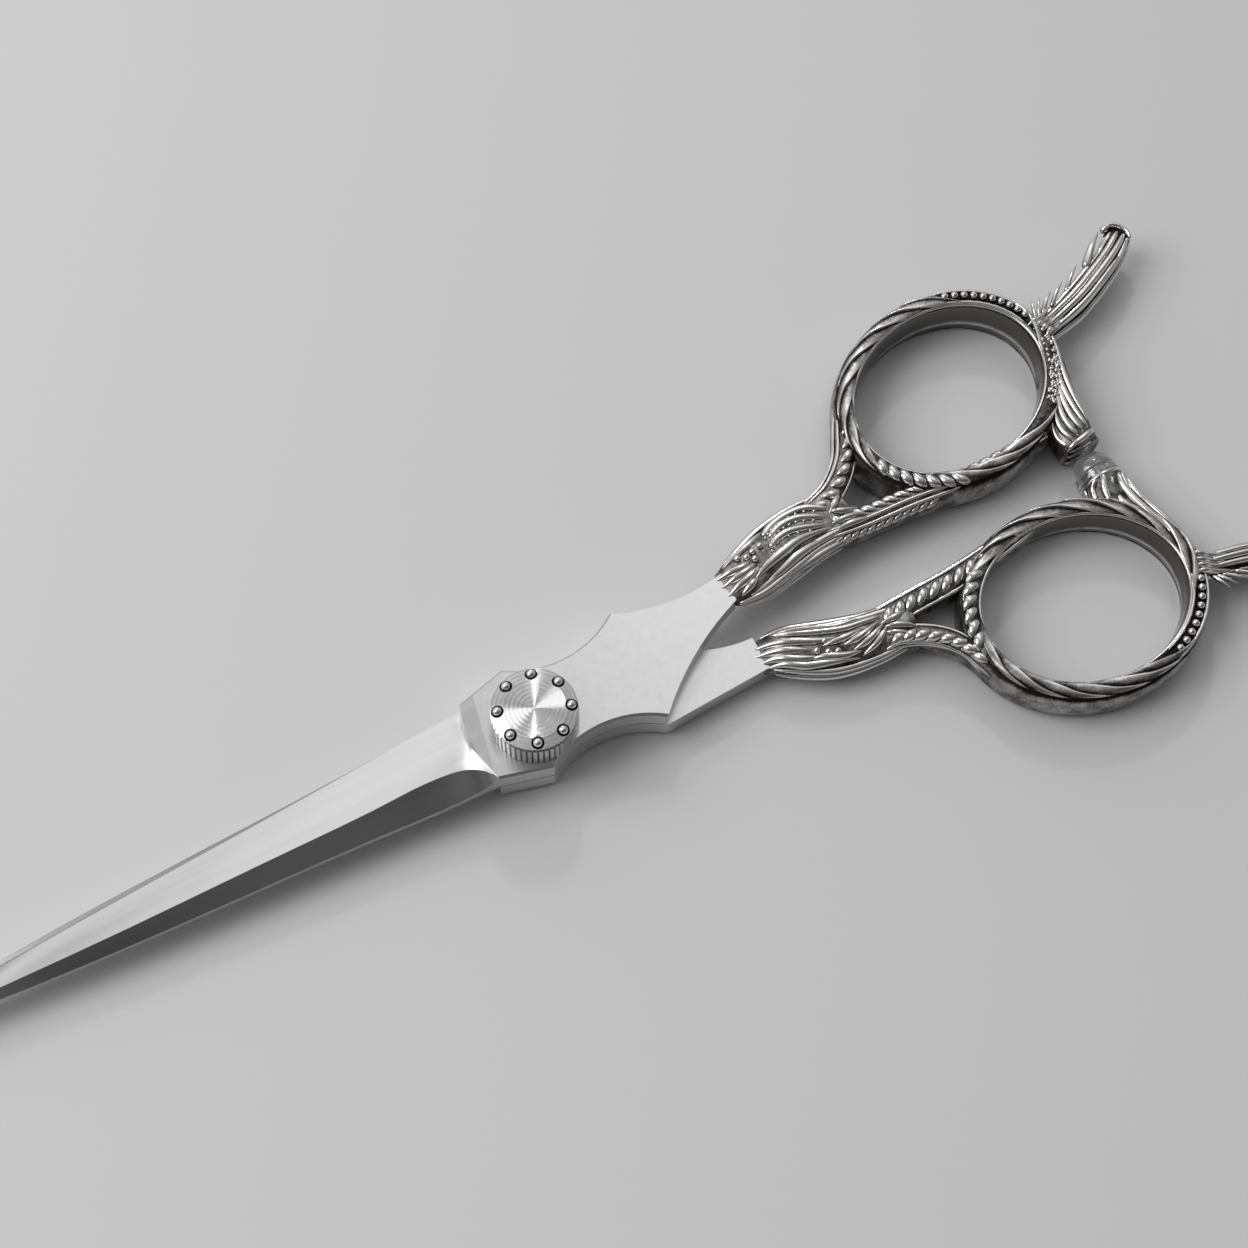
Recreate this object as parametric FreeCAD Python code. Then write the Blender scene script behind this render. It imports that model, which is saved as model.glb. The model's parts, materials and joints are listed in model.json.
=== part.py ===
"""Hair cutting shears with sculpted cast handles and a dial tension screw.

Two forged blades cross at a pivot.  Each blade carries a brazed cast handle with an oval
finger ring, two struts around a small window, and a screwed-in finger rest.  The finger half
lies on top and holds the dial; the thumb half turns on the pivot bolt and holds the bumper.

Frame: millimetres, +Z up, origin on the pivot axis in the plane that the shears lie on.
The tips point to -X, the finger ring lies towards +Y and the thumb ring towards -Y.
Modelled closed, with the bumper resting against the stop of the finger ring.
"""
import FreeCAD
import Part
import math
import os

from FreeCAD import Matrix, Rotation, Vector

# ---- driving dimensions, millimetres and degrees ----------------------------------------

# blades
blade_reach = 75.5            # pivot axis to tip
heel_reach = 6.1              # pivot axis to the front of the bolster
blade_thick = 2.4             # at the bolster and the heel
tip_thick = 0.9
centre_line = 0.8             # the blades' centre line lies this far above the pivot axis in plan
heel_half_width = 4.7         # centre line to spine at the heel
tip_half_width = 0.28
facet_foot = 0.75             # height of the spine wall below the dark facet
edge_land = 0.08              # thickness left at the cutting edge
ride_width = 0.5              # flat strips each side of the hollow
hollow_depth = 0.12           # hollow grind of the inner face
face_bulge = 0.04             # rise of the wide face over its chord, as a share of thickness
blade_gap = 0.1               # free space between the inner faces

# bolster: a waisted plate around the pivot, symmetric about the centre line
shoulder_x, shoulder_half = -0.5, 6.15
waist_x, waist_half = 6.1, 4.35
flare_x, flare_half = 12.6, 6.65
shank_end = 25.6              # end of the flat plate, where the casting begins
bolster_chamfer = 0.25
heel_front_lean = 1.0         # how far the bolster's front leans towards the tip at the centre
front_bevel_low = (-5.55, 0.4)      # ends of the line where the plate's shallow bevel starts
front_bevel_high = (-4.65, 4.75)
front_bevel_slope = 5.0

# stack heights
foot_drop = 0.7               # bolt head stands this far below the thumb blade
bolt_head_seat = 0.6          # depth of the bolt head's counterbore
friction_washer_thick = 0.2

# pivot hardware
bolt_radius = 2.0
bolt_head_radius = 3.8
bolt_flat = 1.5               # axis to each flat of the double-D neck
bush_wall = 0.85
running_clearance = 0.03
seat_clearance = 0.02
washer_outer, washer_recess = 4.4, 0.3
head_chamfer = 0.2

# tension dial
dial_radius = 4.6
dial_height = 3.7
dial_lift = 0.1               # free space under the knurled skirt
dial_face_radius = 3.35
dial_band_drop = 0.28         # fall of the sloping outer band
dial_lip = 0.35               # smooth lip above the groove
dial_groove = 0.22            # groove between lip and knurl
knurl_count = 48
knurl_depth = 0.2
knurl_half = 0.26             # half width of a knurl groove at its mouth
dial_edge_break = 0.05
dial_cavity_radius = 3.95
dial_nut_radius = 3.0
dial_nut_seat = 1.6           # length of nut pressed in the dial
thread_engagement = 1.8
thread_relief = 0.05          # thread radius under the bolt's radius
detent_count = 24
detent_width = 0.35
detent_depth = 0.2
stud_count = 8
stud_radius = 0.5
stud_circle = 3.83
stud_first_angle = 23.25      # of the first stud, from +X
stud_pin_radius = 0.3
stud_pin_length = 1.1         # from the ball's centre down
stud_proud = 0.5              # share of the ball's diameter above the band
stud_seat_radius = 0.68       # countersink round each stud

# springs under the dial
click_plate_thick = 0.2
click_plate_radius = 3.8
click_ball_radius = 0.4
click_ball_circle = 3.4
click_ball_sunk = 0.1         # how deep the balls sit in the plate's dimples
click_clearance = 0.06        # ball to the dial between two notches
disc_spring_thick = 0.22
disc_spring_rise = 0.2

# rings: centre in plan, half length and half width of the hole, radius of the hole's ends,
# turn of its long axis, height of the hoop, where the rest sits round the hole, the direction
# in which it leaves, and the side to which it curls
finger_ring = {"centre": (60.4, 14.8), "long": 12.3, "short": 9.65, "end_radius": 8.0,
               "turn": 18.5, "height": 5.7, "rest_angle": -9.0, "rest_heading": 16.0, "side": 1}
thumb_ring = {"centre": (59.7, -14.3), "long": 11.9, "short": 9.65, "end_radius": 8.2,
              "turn": -2.0, "height": 5.0, "rest_angle": -11.0, "rest_heading": -14.0, "side": -1}
hoop_width = 2.75             # radial width of the hoop on its narrow side
hoop_bulge = 0.3              # how far the inner wall swells into the hole
hoop_rim_radius = 0.9         # roundness of the hoop's upper and lower edge

# castings
neck_flutes = 9
neck_flute_depth = 0.05       # share of the section
trim_block = 20.0             # side of the blocks that trim the castings

# tenons that join plates and castings
tenon_length = 6.0
tenon_width = 3.0
tenon_thick = 1.4

# finger rests, each held on its hoop by a threaded stud
rest_seat_radius = 1.6        # radius of the round pad between hoop and rest
rest_pad_offset = 2.9         # hole wall to the pad's seat
rest_length = 16.2
rest_hook = 2.3               # how far the end of the rest curls sideways
rest_flutes = 9
rest_flute_depth = 0.06       # share of the section
rest_stud_radius = 1.0
rest_stud_hold = 2.2          # length of stud in the pad and in the rest
stud_room = 0.2               # free depth beyond each end of a stud

# bumper
bumper_radius = 2.5
bumper_inset = 1.4            # bumper axis to the far end of the thumb hole, along X
bumper_z = 2.6
bumper_cup_y = -2.3           # mouth of the cup that holds the bumper
bumper_collar = 1.1           # straight part below the dome
bumper_stud_radius = 1.0
bumper_stud_hold = 2.0        # length of stud in the cup
bumper_stud_reach = 1.6       # length of stud in the bumper
bumper_gap = 0.15             # dome to stop when closed

# ---- places worked out from the sizes above -----------------------------------------------

bumper_x = thumb_ring["centre"][0] + thumb_ring["long"] - bumper_inset

thumb_outer_z = foot_drop
thumb_inner_z = thumb_outer_z + blade_thick
finger_inner_z = thumb_inner_z + blade_gap
finger_outer_z = finger_inner_z + blade_thick
blade_mid_z = (thumb_inner_z + finger_inner_z) / 2
head_top_z = foot_drop + bolt_head_seat - friction_washer_thick
dial_bottom_z = finger_outer_z + dial_lift
dial_top_z = dial_bottom_z + dial_height
click_top_z = finger_outer_z + click_plate_thick
dial_ceiling_z = click_top_z + 2 * click_ball_radius - click_ball_sunk + click_clearance
nut_low_z = click_top_z + disc_spring_thick + disc_spring_rise + seat_clearance
nut_top_z = dial_ceiling_z + dial_nut_seat
bolt_top_z = nut_low_z + thread_engagement
bush_radius = bolt_radius + running_clearance + bush_wall
finger_mid_z = (finger_inner_z + finger_outer_z) / 2
thumb_mid_z = (thumb_outer_z + thumb_inner_z) / 2


# ---- small helpers ------------------------------------------------------------------------

def line(a, b):
    """Straight edge between two points."""
    return Part.LineSegment(a, b).toShape()


def arc(a, mid, b):
    """Circular edge from a to b through mid."""
    return Part.Arc(a, mid, b).toShape()


def cylinder(radius, z_low, z_high, x=0.0, y=0.0):
    """Upright cylinder between two heights."""
    return Part.makeCylinder(radius, z_high - z_low, Vector(x, y, z_low))


def polar(radius, angle):
    """Vector of a length at an angle in degrees from +X."""
    return Vector(radius * math.cos(math.radians(angle)), radius * math.sin(math.radians(angle)), 0)


def turned_over(shape):
    """The shape rolled half a turn about the blades' centre line, finger side to thumb side."""
    rolled = shape.copy()
    rolled.rotate(Vector(0, centre_line, blade_mid_z), Vector(1, 0, 0), 180)
    return rolled


def smooth_loop(points):
    """Closed smooth wire through the points."""
    curve = Part.BSplineCurve()
    curve.interpolate(Points=points, PeriodicFlag=True)
    return Part.Wire([curve.toShape()])


def oval(station, heading):
    """Upright oval wire across a limb at an (x, y, z, width, height) station."""
    x, y, z, width, height = station
    stretch = Matrix()
    stretch.scale(1.0, width / 2, height / 2)
    circle = Part.Wire([Part.Circle(Vector(0, 0, 0), Vector(1, 0, 0), 1.0).toShape()])
    loop = circle.transformGeometry(stretch)
    loop.rotate(Vector(0, 0, 0), Vector(0, 0, 1), math.degrees(heading))
    loop.translate(Vector(x, y, z))
    return loop


def fluted_oval(station, heading, flutes, flute_depth):
    """Like oval, with flutes pressed into it."""
    x, y, z, width, height = station
    side = Vector(-math.sin(heading), math.cos(heading), 0)
    count = 5 * flutes
    ring = []
    for i in range(count):
        a = 2 * math.pi * i / count
        fullness = 1 + flute_depth * math.cos(flutes * a)
        across = side * (0.5 * width * fullness * math.cos(a))
        ring.append(Vector(x, y, z + 0.5 * height * fullness * math.sin(a)) + across)
    return smooth_loop(ring)


def limb(stations, flutes=0, flute_depth=0.0):
    """Solid lofted through oval sections at (x, y, z, width, height) stations."""
    wires = []
    for i, station in enumerate(stations):
        before, after = stations[max(i - 1, 0)], stations[min(i + 1, len(stations) - 1)]
        heading = math.atan2(after[1] - before[1], after[0] - before[0])
        if flutes:
            wires.append(fluted_oval(station, heading, flutes, flute_depth))
        else:
            wires.append(oval(station, heading))
    return Part.makeLoft(wires, True, False)


def fused(shapes):
    """One solid from overlapping solids."""
    whole = shapes[0].multiFuse(shapes[1:])
    return whole.removeSplitter()


def double_d(radius, flat, z_low, z_high):
    """Round bar with two flats, for the bolt neck and the holes that key it."""
    across = 2 * radius
    slab = Part.makeBox(2 * across, 2 * flat, z_high - z_low, Vector(-across, -flat, z_low))
    return cylinder(radius, z_low, z_high).common(slab)


# ---- blades -------------------------------------------------------------------------------

def blade_stations():
    """Sections from heel to tip as (distance share, spine, ridge, edge, foot) offsets.

    Offsets are measured from the centre line in shares of the heel's half width, and the
    foot is the height of the spine wall as a share of the local thickness.
    """
    return (
        (0.000, -1.000, -0.985, 1.010, 0.98),
        (0.020, -0.995, -0.620, 1.000, 0.62),
        (0.050, -0.985, -0.430, 0.985, 0.42),
        (0.090, -0.960, -0.365, 0.955, 0.32),
        (0.180, -0.880, -0.375, 0.850, 0.31),
        (0.340, -0.765, -0.350, 0.690, 0.31),
        (0.500, -0.665, -0.325, 0.545, 0.31),
        (0.650, -0.545, -0.285, 0.405, 0.32),
        (0.790, -0.385, -0.215, 0.235, 0.34),
        (0.900, -0.235, -0.135, 0.125, 0.38),
        (0.965, -0.130, -0.075, 0.070, 0.42),
        (1.000, -0.060, -0.030, 0.040, 0.50),
    )


def blade_section(share, spine, ridge, edge, foot):
    """Wire across the finger blade: land, convex face, facet, spine wall, ride, hollow, ride."""
    x = -(heel_reach + share * (blade_reach - heel_reach))
    thick = blade_thick + (tip_thick - blade_thick) * max(0.0, share - 0.09) / 0.91
    y_spine, y_ridge, y_edge = (centre_line + heel_half_width * v for v in (spine, ridge, edge))
    base = finger_inner_z
    ride = min(ride_width, (y_edge - y_spine) / 5)
    hollow = min(hollow_depth, (y_edge - y_spine) / 40)
    low, top = base + edge_land, base + thick
    face_mid_y = (y_edge + y_ridge) / 2
    face_mid_z = (low + top) / 2 + face_bulge * thick
    points = [Vector(x, y, z) for y, z in (
        (y_edge, base), (y_edge, low), (face_mid_y, face_mid_z), (y_ridge, top),
        (y_spine, base + foot * thick), (y_spine, base), (y_spine + ride, base),
        ((y_spine + y_edge) / 2, base + hollow), (y_edge - ride, base))]
    return Part.Wire([
        line(points[0], points[1]), arc(points[1], points[2], points[3]),
        line(points[3], points[4]), line(points[4], points[5]), line(points[5], points[6]),
        arc(points[6], points[7], points[8]), line(points[8], points[0])])


def blade_body():
    """The ground blade, from the bolster's front to the tip."""
    return Part.makeLoft([blade_section(*s) for s in blade_stations()], True, False)


def bolster_outline(end_high, end_low, high_mid, low_mid, z):
    """Closed outline of the waisted plate and its shank, tip end first.

    end_high and end_low are the shank's corners where the casting begins, and the mids are
    points on the curved edges that lead to them.
    """
    def at(x, half):
        return Vector(x, centre_line + half, z)
    front = -(heel_reach + heel_front_lean)
    heel_high, heel_low = at(-heel_reach, heel_half_width), at(-heel_reach, -heel_half_width)
    return Part.Face(Part.Wire([
        line(at(front, 0), heel_high),
        line(heel_high, at(shoulder_x, shoulder_half)),
        arc(at(shoulder_x, shoulder_half), at(waist_x, waist_half), at(flare_x, flare_half)),
        arc(at(flare_x, flare_half), Vector(*high_mid, z), Vector(*end_high, z)),
        line(Vector(*end_high, z), Vector(*end_low, z)),
        arc(Vector(*end_low, z), Vector(*low_mid, z), at(flare_x, -flare_half)),
        arc(at(flare_x, -flare_half), at(waist_x, -waist_half), at(shoulder_x, -shoulder_half)),
        line(at(shoulder_x, -shoulder_half), heel_low),
        line(heel_low, at(front, 0))]))


def bolster(end_high, end_low, high_mid, low_mid):
    """Waisted plate with softened outer edges, on the finger side's heights."""
    face = bolster_outline(end_high, end_low, high_mid, low_mid, finger_inner_z)
    plate = face.extrude(Vector(0, 0, blade_thick))
    rim = [e for e in plate.Edges
           if abs(e.BoundBox.ZMin - finger_outer_z) < 1e-6
           and abs(e.BoundBox.ZMax - finger_outer_z) < 1e-6
           and heel_reach + 0.01 > -e.BoundBox.XMin and e.BoundBox.XMax < shank_end - 0.01]
    return plate.makeChamfer(bolster_chamfer, rim)


def front_bevel():
    """Block above the shallow plane that falls away from the plate's flat towards its front."""
    span = 4 * heel_reach
    (x_low, y_low), (x_high, y_high) = front_bevel_low, front_bevel_high
    block = Part.makeBox(2 * span, span, span, Vector(-span, 0, 0))
    block.rotate(Vector(0, 0, 0), Vector(1, 0, 0), -front_bevel_slope)
    block.rotate(Vector(0, 0, 0), Vector(0, 0, 1),
                 math.degrees(math.atan2(y_high - y_low, x_high - x_low)))
    block.translate(Vector(x_low, y_low, finger_outer_z))
    return block


def tenon(start, heading, mid_z, growth=0.0):
    """Flat tongue from the shank's end into the casting, or its pocket with growth."""
    block = Part.makeBox(tenon_length + growth + 1.0, tenon_width + 2 * growth,
                         tenon_thick + 2 * growth,
                         Vector(-1.0, -tenon_width / 2 - growth, -tenon_thick / 2 - growth))
    block.rotate(Vector(0, 0, 0), Vector(0, 0, 1), heading)
    block.translate(Vector(start[0], start[1], mid_z))
    return block


finger_shank = {"end_high": (shank_end, 6.1), "end_low": (shank_end, 2.6),
                "high_mid": (18.6, 5.75), "low_mid": (18.9, -0.75),
                "tenon_at": (shank_end, 4.35), "heading": 18.0}
# the thumb plate is drawn on the finger side and rolled over, so its points are mirrored
thumb_shank = {"end_high": (shank_end, 2 * centre_line + 5.1),
               "end_low": (shank_end, 2 * centre_line + 1.2),
               "high_mid": (18.6, 2 * centre_line + 5.5),
               "low_mid": (18.4, 2 * centre_line - 0.9),
               "tenon_at": (shank_end, -3.2), "heading": -20.0}


def blade(shank, mid_z, rolled):
    """Bolster, ground blade and tenon as one forging, with no pivot holes yet."""
    flat = bolster(shank["end_high"], shank["end_low"], shank["high_mid"], shank["low_mid"])
    forging = flat.cut(front_bevel()).fuse(blade_body())
    if rolled:
        forging = turned_over(forging)
    return fused([forging, tenon(shank["tenon_at"], shank["heading"], mid_z)])


def finger_blade():
    """Top blade with the keyed hole that stops the bolt turning."""
    hole = double_d(bolt_radius + seat_clearance, bolt_flat + seat_clearance,
                    finger_inner_z - 1, finger_outer_z + 1)
    return blade(finger_shank, finger_mid_z, rolled=False).cut(hole)


def thumb_blade():
    """Lower blade with the bush hole, the bolt head's counterbore and the washer recess."""
    body = blade(thumb_shank, thumb_mid_z, rolled=True)
    bush_hole = cylinder(bush_radius + seat_clearance, thumb_outer_z - 1, thumb_inner_z + 1)
    counterbore = cylinder(bolt_head_radius + 0.25, thumb_outer_z - 1,
                           foot_drop + bolt_head_seat)
    recess = cylinder(washer_outer + seat_clearance, thumb_inner_z - washer_recess,
                      thumb_inner_z + 1)
    return body.cut(bush_hole).cut(counterbore).cut(recess)


# ---- pivot hardware -------------------------------------------------------------------------

def pivot_bolt():
    """Flat-headed bolt, round in the bush, double-D in the finger blade, threaded above."""
    head = Part.makeCylinder(bolt_head_radius, head_top_z)
    head = head.makeChamfer(head_chamfer, [e for e in head.Edges if e.BoundBox.ZMax < 1e-6])
    round_part = cylinder(bolt_radius, head_top_z, finger_inner_z)
    neck = double_d(bolt_radius, bolt_flat, finger_inner_z, click_top_z)
    thread = cylinder(bolt_radius - thread_relief, click_top_z, bolt_top_z)
    return fused([head, round_part, neck, thread])


def bearing_bush():
    """Sleeve in the thumb blade that turns on the bolt."""
    low, high = foot_drop + bolt_head_seat, thumb_inner_z - washer_recess
    return cylinder(bush_radius, low, high).cut(
        cylinder(bolt_radius + running_clearance, low - 1, high + 1))


def friction_washer():
    """Thin disc between the bolt head and the thumb blade."""
    low, high = head_top_z, foot_drop + bolt_head_seat
    return cylinder(bolt_head_radius - 0.1, low + 0.01, high - 0.01).cut(
        cylinder(bolt_radius + 0.1, low - 1, high + 1))


def ride_washer():
    """Low-friction disc between the blades, sunk in the thumb blade."""
    low, high = thumb_inner_z - washer_recess, finger_inner_z - 0.01
    return cylinder(washer_outer, low, high).cut(cylinder(bolt_radius + 0.1, low - 1, high + 1))


def click_ball_centres():
    """Centres of the two balls that click in the dial's notches."""
    height = click_top_z - click_ball_sunk + click_ball_radius
    return [Vector(side * click_ball_circle, 0, height) for side in (-1, 1)]


def click_plate():
    """Spring plate keyed to the bolt, with a dimple for each ball."""
    plate = cylinder(click_plate_radius, finger_outer_z, click_top_z)
    dimples = [Part.makeSphere(click_ball_radius + seat_clearance, c)
               for c in click_ball_centres()]
    key = double_d(bolt_radius + seat_clearance, bolt_flat + seat_clearance,
                   finger_outer_z - 1, click_top_z + 1)
    return plate.cut(dimples + [key])


def click_balls():
    """Steel balls between the click plate and the dial."""
    return Part.makeCompound([Part.makeSphere(click_ball_radius, c)
                              for c in click_ball_centres()])


def disc_spring():
    """Coned washer that loads the dial's hub."""
    low = click_top_z
    inner, outer = bolt_radius + 0.15, dial_nut_radius - 0.3
    points = [Vector(outer, 0, low), Vector(outer, 0, low + disc_spring_thick),
              Vector(inner, 0, low + disc_spring_thick + disc_spring_rise),
              Vector(inner, 0, low + disc_spring_rise)]
    face = Part.Face(Part.makePolygon(points + points[:1]))
    return face.revolve(Vector(0, 0, 0), Vector(0, 0, 1), 360)


# ---- tension dial ---------------------------------------------------------------------------

def dial_profile():
    """Turned outline of the dial, from the nut's bore round the skirt to the face."""
    band_edge = dial_top_z - dial_band_drop
    lip_low = band_edge - dial_lip
    knurl_top = lip_low - dial_groove
    bore = dial_nut_radius + seat_clearance
    root = dial_radius - knurl_depth - 2 * dial_edge_break
    points = [(0, nut_top_z), (bore, nut_top_z), (bore, dial_ceiling_z),
              (dial_cavity_radius, dial_ceiling_z), (dial_cavity_radius, dial_bottom_z),
              (dial_radius, dial_bottom_z), (dial_radius, knurl_top), (root, knurl_top + 2 * dial_edge_break),
              (root, lip_low), (dial_radius - 2 * dial_edge_break, lip_low),
              (dial_radius - dial_edge_break, band_edge),
              (dial_face_radius, dial_top_z), (0, dial_top_z)]
    loop = [Vector(r, 0, z) for r, z in points]
    return Part.Face(Part.makePolygon(loop + loop[:1]))


def tension_dial():
    """Knurled dial with detent notches underneath and countersunk seats for the studs."""
    body = dial_profile().revolve(Vector(0, 0, 0), Vector(0, 0, 1), 360)
    knurl_top = dial_top_z - dial_band_drop - dial_lip - dial_groove + dial_edge_break
    tip, mouth = dial_radius - knurl_depth, dial_radius + 0.2
    groove = Part.makePolygon([Vector(tip, 0, dial_bottom_z - 1),
                               Vector(mouth, -knurl_half, dial_bottom_z - 1),
                               Vector(mouth, knurl_half, dial_bottom_z - 1),
                               Vector(tip, 0, dial_bottom_z - 1)])
    tooth_gap = Part.Face(groove).extrude(Vector(0, 0, knurl_top - dial_bottom_z + 1))
    notch = Part.makeBox(dial_cavity_radius, detent_width, detent_depth + 0.5,
                         Vector(0, -detent_width / 2, dial_ceiling_z - 0.5))
    notch = notch.common(cylinder(dial_cavity_radius - 0.02, dial_bottom_z, dial_top_z))
    notch = notch.cut(cylinder(dial_nut_radius + 0.1, dial_bottom_z, dial_top_z))
    cutters = around(tooth_gap, knurl_count) + around(notch, detent_count)
    for centre in stud_centres():
        cutters.append(Part.makeSphere(stud_seat_radius, centre))
        cutters.append(Part.makeCylinder(stud_pin_radius + seat_clearance, stud_pin_length + 0.1,
                                         centre - Vector(0, 0, stud_pin_length + 0.1)))
    return body.cut(cutters)


def dial_nut():
    """Threaded nut pressed in the dial, which the disc spring pushes up."""
    nut = cylinder(dial_nut_radius, nut_low_z, nut_top_z)
    bore = cylinder(bolt_radius - thread_relief + seat_clearance, nut_low_z - 1, nut_top_z + 1)
    return nut.cut(bore)


def around(shape, count):
    """Copies of a shape evenly spaced about the pivot axis."""
    copies = []
    for i in range(count):
        turned = shape.copy()
        turned.rotate(Vector(0, 0, 0), Vector(0, 0, 1), 360.0 * i / count)
        copies.append(turned)
    return copies


def stud_centres():
    """Centres of the round studs, on the dial's sloping band."""
    slope = dial_band_drop / (dial_radius - dial_edge_break - dial_face_radius)
    surface = dial_top_z - slope * (stud_circle - dial_face_radius)
    height = surface + (2 * stud_proud - 1) * stud_radius
    return [polar(stud_circle, stud_first_angle + 360.0 * i / stud_count) + Vector(0, 0, height)
            for i in range(stud_count)]


def dial_studs():
    """Round-headed studs pressed into the dial, each on its own pin."""
    pins = []
    for centre in stud_centres():
        pin = Part.makeCylinder(stud_pin_radius, stud_pin_length,
                                centre - Vector(0, 0, stud_pin_length))
        pins.append(pin.fuse(Part.makeSphere(stud_radius, centre)))
    return Part.makeCompound(pins)


# ---- cast handles -----------------------------------------------------------------------------

def oval_arcs(half_long, half_short, end_radius):
    """Four-centre oval as (centre x, centre y, radius, first angle, last angle) arcs."""
    end = half_long - end_radius
    flank_radius = (end ** 2 + half_short ** 2 - end_radius ** 2) / (2 * (half_short - end_radius))
    flank = flank_radius - half_short
    meet = math.degrees(math.atan2(flank, end))
    return ((end, 0.0, end_radius, -meet, meet), (0.0, -flank, flank_radius, meet, 180 - meet),
            (-end, 0.0, end_radius, 180 - meet, 180 + meet),
            (0.0, flank, flank_radius, 180 + meet, 360 - meet))


def oval_face(half_long, half_short, end_radius):
    """Flat four-centre oval, long axis along X."""
    edges = []
    for x, y, radius, first, last in oval_arcs(half_long, half_short, end_radius):
        spots = [Vector(x, y, 0) + polar(radius, a) for a in (first, (first + last) / 2, last)]
        edges.append(arc(*spots))
    return Part.Face(Part.Wire(edges))


def hoop(ring):
    """Oval hoop: an upright oval section carried round the four arcs of the finger hole."""
    wall = oval_face(ring["height"] / 2, hoop_width / 2, hoop_rim_radius)
    wall.rotate(Vector(0, 0, 0), Vector(1, 0, 0), 90)
    wall.rotate(Vector(0, 0, 0), Vector(0, 1, 0), 90)
    quarters = []
    for x, y, radius, first, last in oval_arcs(ring["long"], ring["short"], ring["end_radius"]):
        start = wall.copy()
        start.translate(Vector(radius - hoop_bulge + hoop_width / 2, 0, ring["height"] / 2))
        start.rotate(Vector(0, 0, 0), Vector(0, 0, 1), first)
        quarter = start.revolve(Vector(0, 0, 0), Vector(0, 0, 1), last - first)
        quarter.translate(Vector(x, y, 0))
        quarters.append(quarter)
    return placed(fused(quarters), ring)


def placed(shape, ring):
    """The shape turned and moved to its ring."""
    shape.rotate(Vector(0, 0, 0), Vector(0, 0, 1), ring["turn"])
    shape.translate(Vector(ring["centre"][0], ring["centre"][1], 0))
    return shape


def hoop_edge(ring, angle, offset):
    """Point at an angle round the hoop's hole, moved outwards by offset."""
    a, turn = math.radians(angle), math.radians(ring["turn"])
    u, v = ring["long"] * math.cos(a), ring["short"] * math.sin(a)
    nu, nv = ring["short"] * math.cos(a), ring["long"] * math.sin(a)
    norm = math.hypot(nu, nv)
    u, v = u + offset * nu / norm, v + offset * nv / norm
    return (ring["centre"][0] + u * math.cos(turn) - v * math.sin(turn),
            ring["centre"][1] + u * math.sin(turn) + v * math.cos(turn))


def hoop_core(ring):
    """Oval column that ends inside the hoop's wall, to trim the limbs that run into it."""
    inset = hoop_width / 2 - hoop_bulge
    face = oval_face(ring["long"] + inset, ring["short"] + inset, ring["end_radius"] + inset)
    core = face.extrude(Vector(0, 0, 4 * ring["height"]))
    core.translate(Vector(0, 0, -ring["height"]))
    return placed(core, ring)


def rest_seat(ring):
    """Centre and outward direction of the seat that a finger rest screws onto."""
    x, y = hoop_edge(ring, ring["rest_angle"], rest_pad_offset)
    return Vector(x, y, ring["height"] / 2), polar(1.0, ring["rest_heading"])


def rest_pad(ring):
    """Round pad between hoop and rest."""
    seat, out = rest_seat(ring)
    depth = rest_pad_offset - hoop_width / 2 + hoop_bulge
    return Part.makeCylinder(rest_seat_radius, depth, seat - out * depth, out)


def rest_bore(ring):
    """Tapped hole for the stud, through the seat into pad and rest."""
    seat, out = rest_seat(ring)
    half = rest_stud_hold + stud_room
    return Part.makeCylinder(rest_stud_radius + seat_clearance, 2 * half, seat - out * half, out)


def rest_stud(ring):
    """Threaded stud that joins a rest to its hoop."""
    seat, out = rest_seat(ring)
    return Part.makeCylinder(rest_stud_radius, 2 * rest_stud_hold, seat - out * rest_stud_hold,
                             out)


def finger_rest(ring):
    """Curved, fluted finger rest, seated on the hoop's pad and bored for its stud."""
    seat, out = rest_seat(ring)
    left = Vector(-out.y, out.x, 0) * ring["side"]
    mid = ring["height"] / 2

    def station(along, across, width, height, rise):
        p = seat + out * (along * rest_length) + left * (across * rest_hook)
        return (p.x, p.y, mid + rise, width, height)
    stations = [station(-0.05, 0.0, 3.2, 3.3, 0.0), station(0.0, 0.0, 3.3, 3.4, 0.0),
                station(0.25, 0.02, 3.7, 3.5, 0.1), station(0.5, 0.15, 3.5, 3.4, 0.2),
                station(0.84, 0.63, 3.6, 3.1, 0.35), station(1.0, 1.0, 3.1, 2.8, 0.4)]
    body = limb(stations, rest_flutes, rest_flute_depth)
    behind = Part.makeCylinder(rest_length, rest_length, seat, out * -1)
    return body.cut([behind, rest_bore(ring)])


def beside(ring, angle, offset, width, height):
    """Limb station beside a hoop, at an angle round its hole and moved outwards."""
    return (*hoop_edge(ring, angle, offset), ring["height"] / 2, width, height)


def block_below(x, y):
    """Large block on the -Y side of a face, centred on x, to trim limbs."""
    return Part.makeBox(2 * trim_block, trim_block, 2 * trim_block,
                        Vector(x - trim_block, y - trim_block, -trim_block))


def plate_block():
    """Large block over everything on the plate's side of the casting joint."""
    return Part.makeBox(trim_block, 2 * trim_block, 2 * trim_block,
                        Vector(shank_end - trim_block, -trim_block, -trim_block))


def neck(stations):
    """Fluted root of a casting, through (distance past the joint, y, z, width, height)."""
    return limb([(shank_end + along, *rest) for along, *rest in stations],
                neck_flutes, neck_flute_depth)


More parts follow.
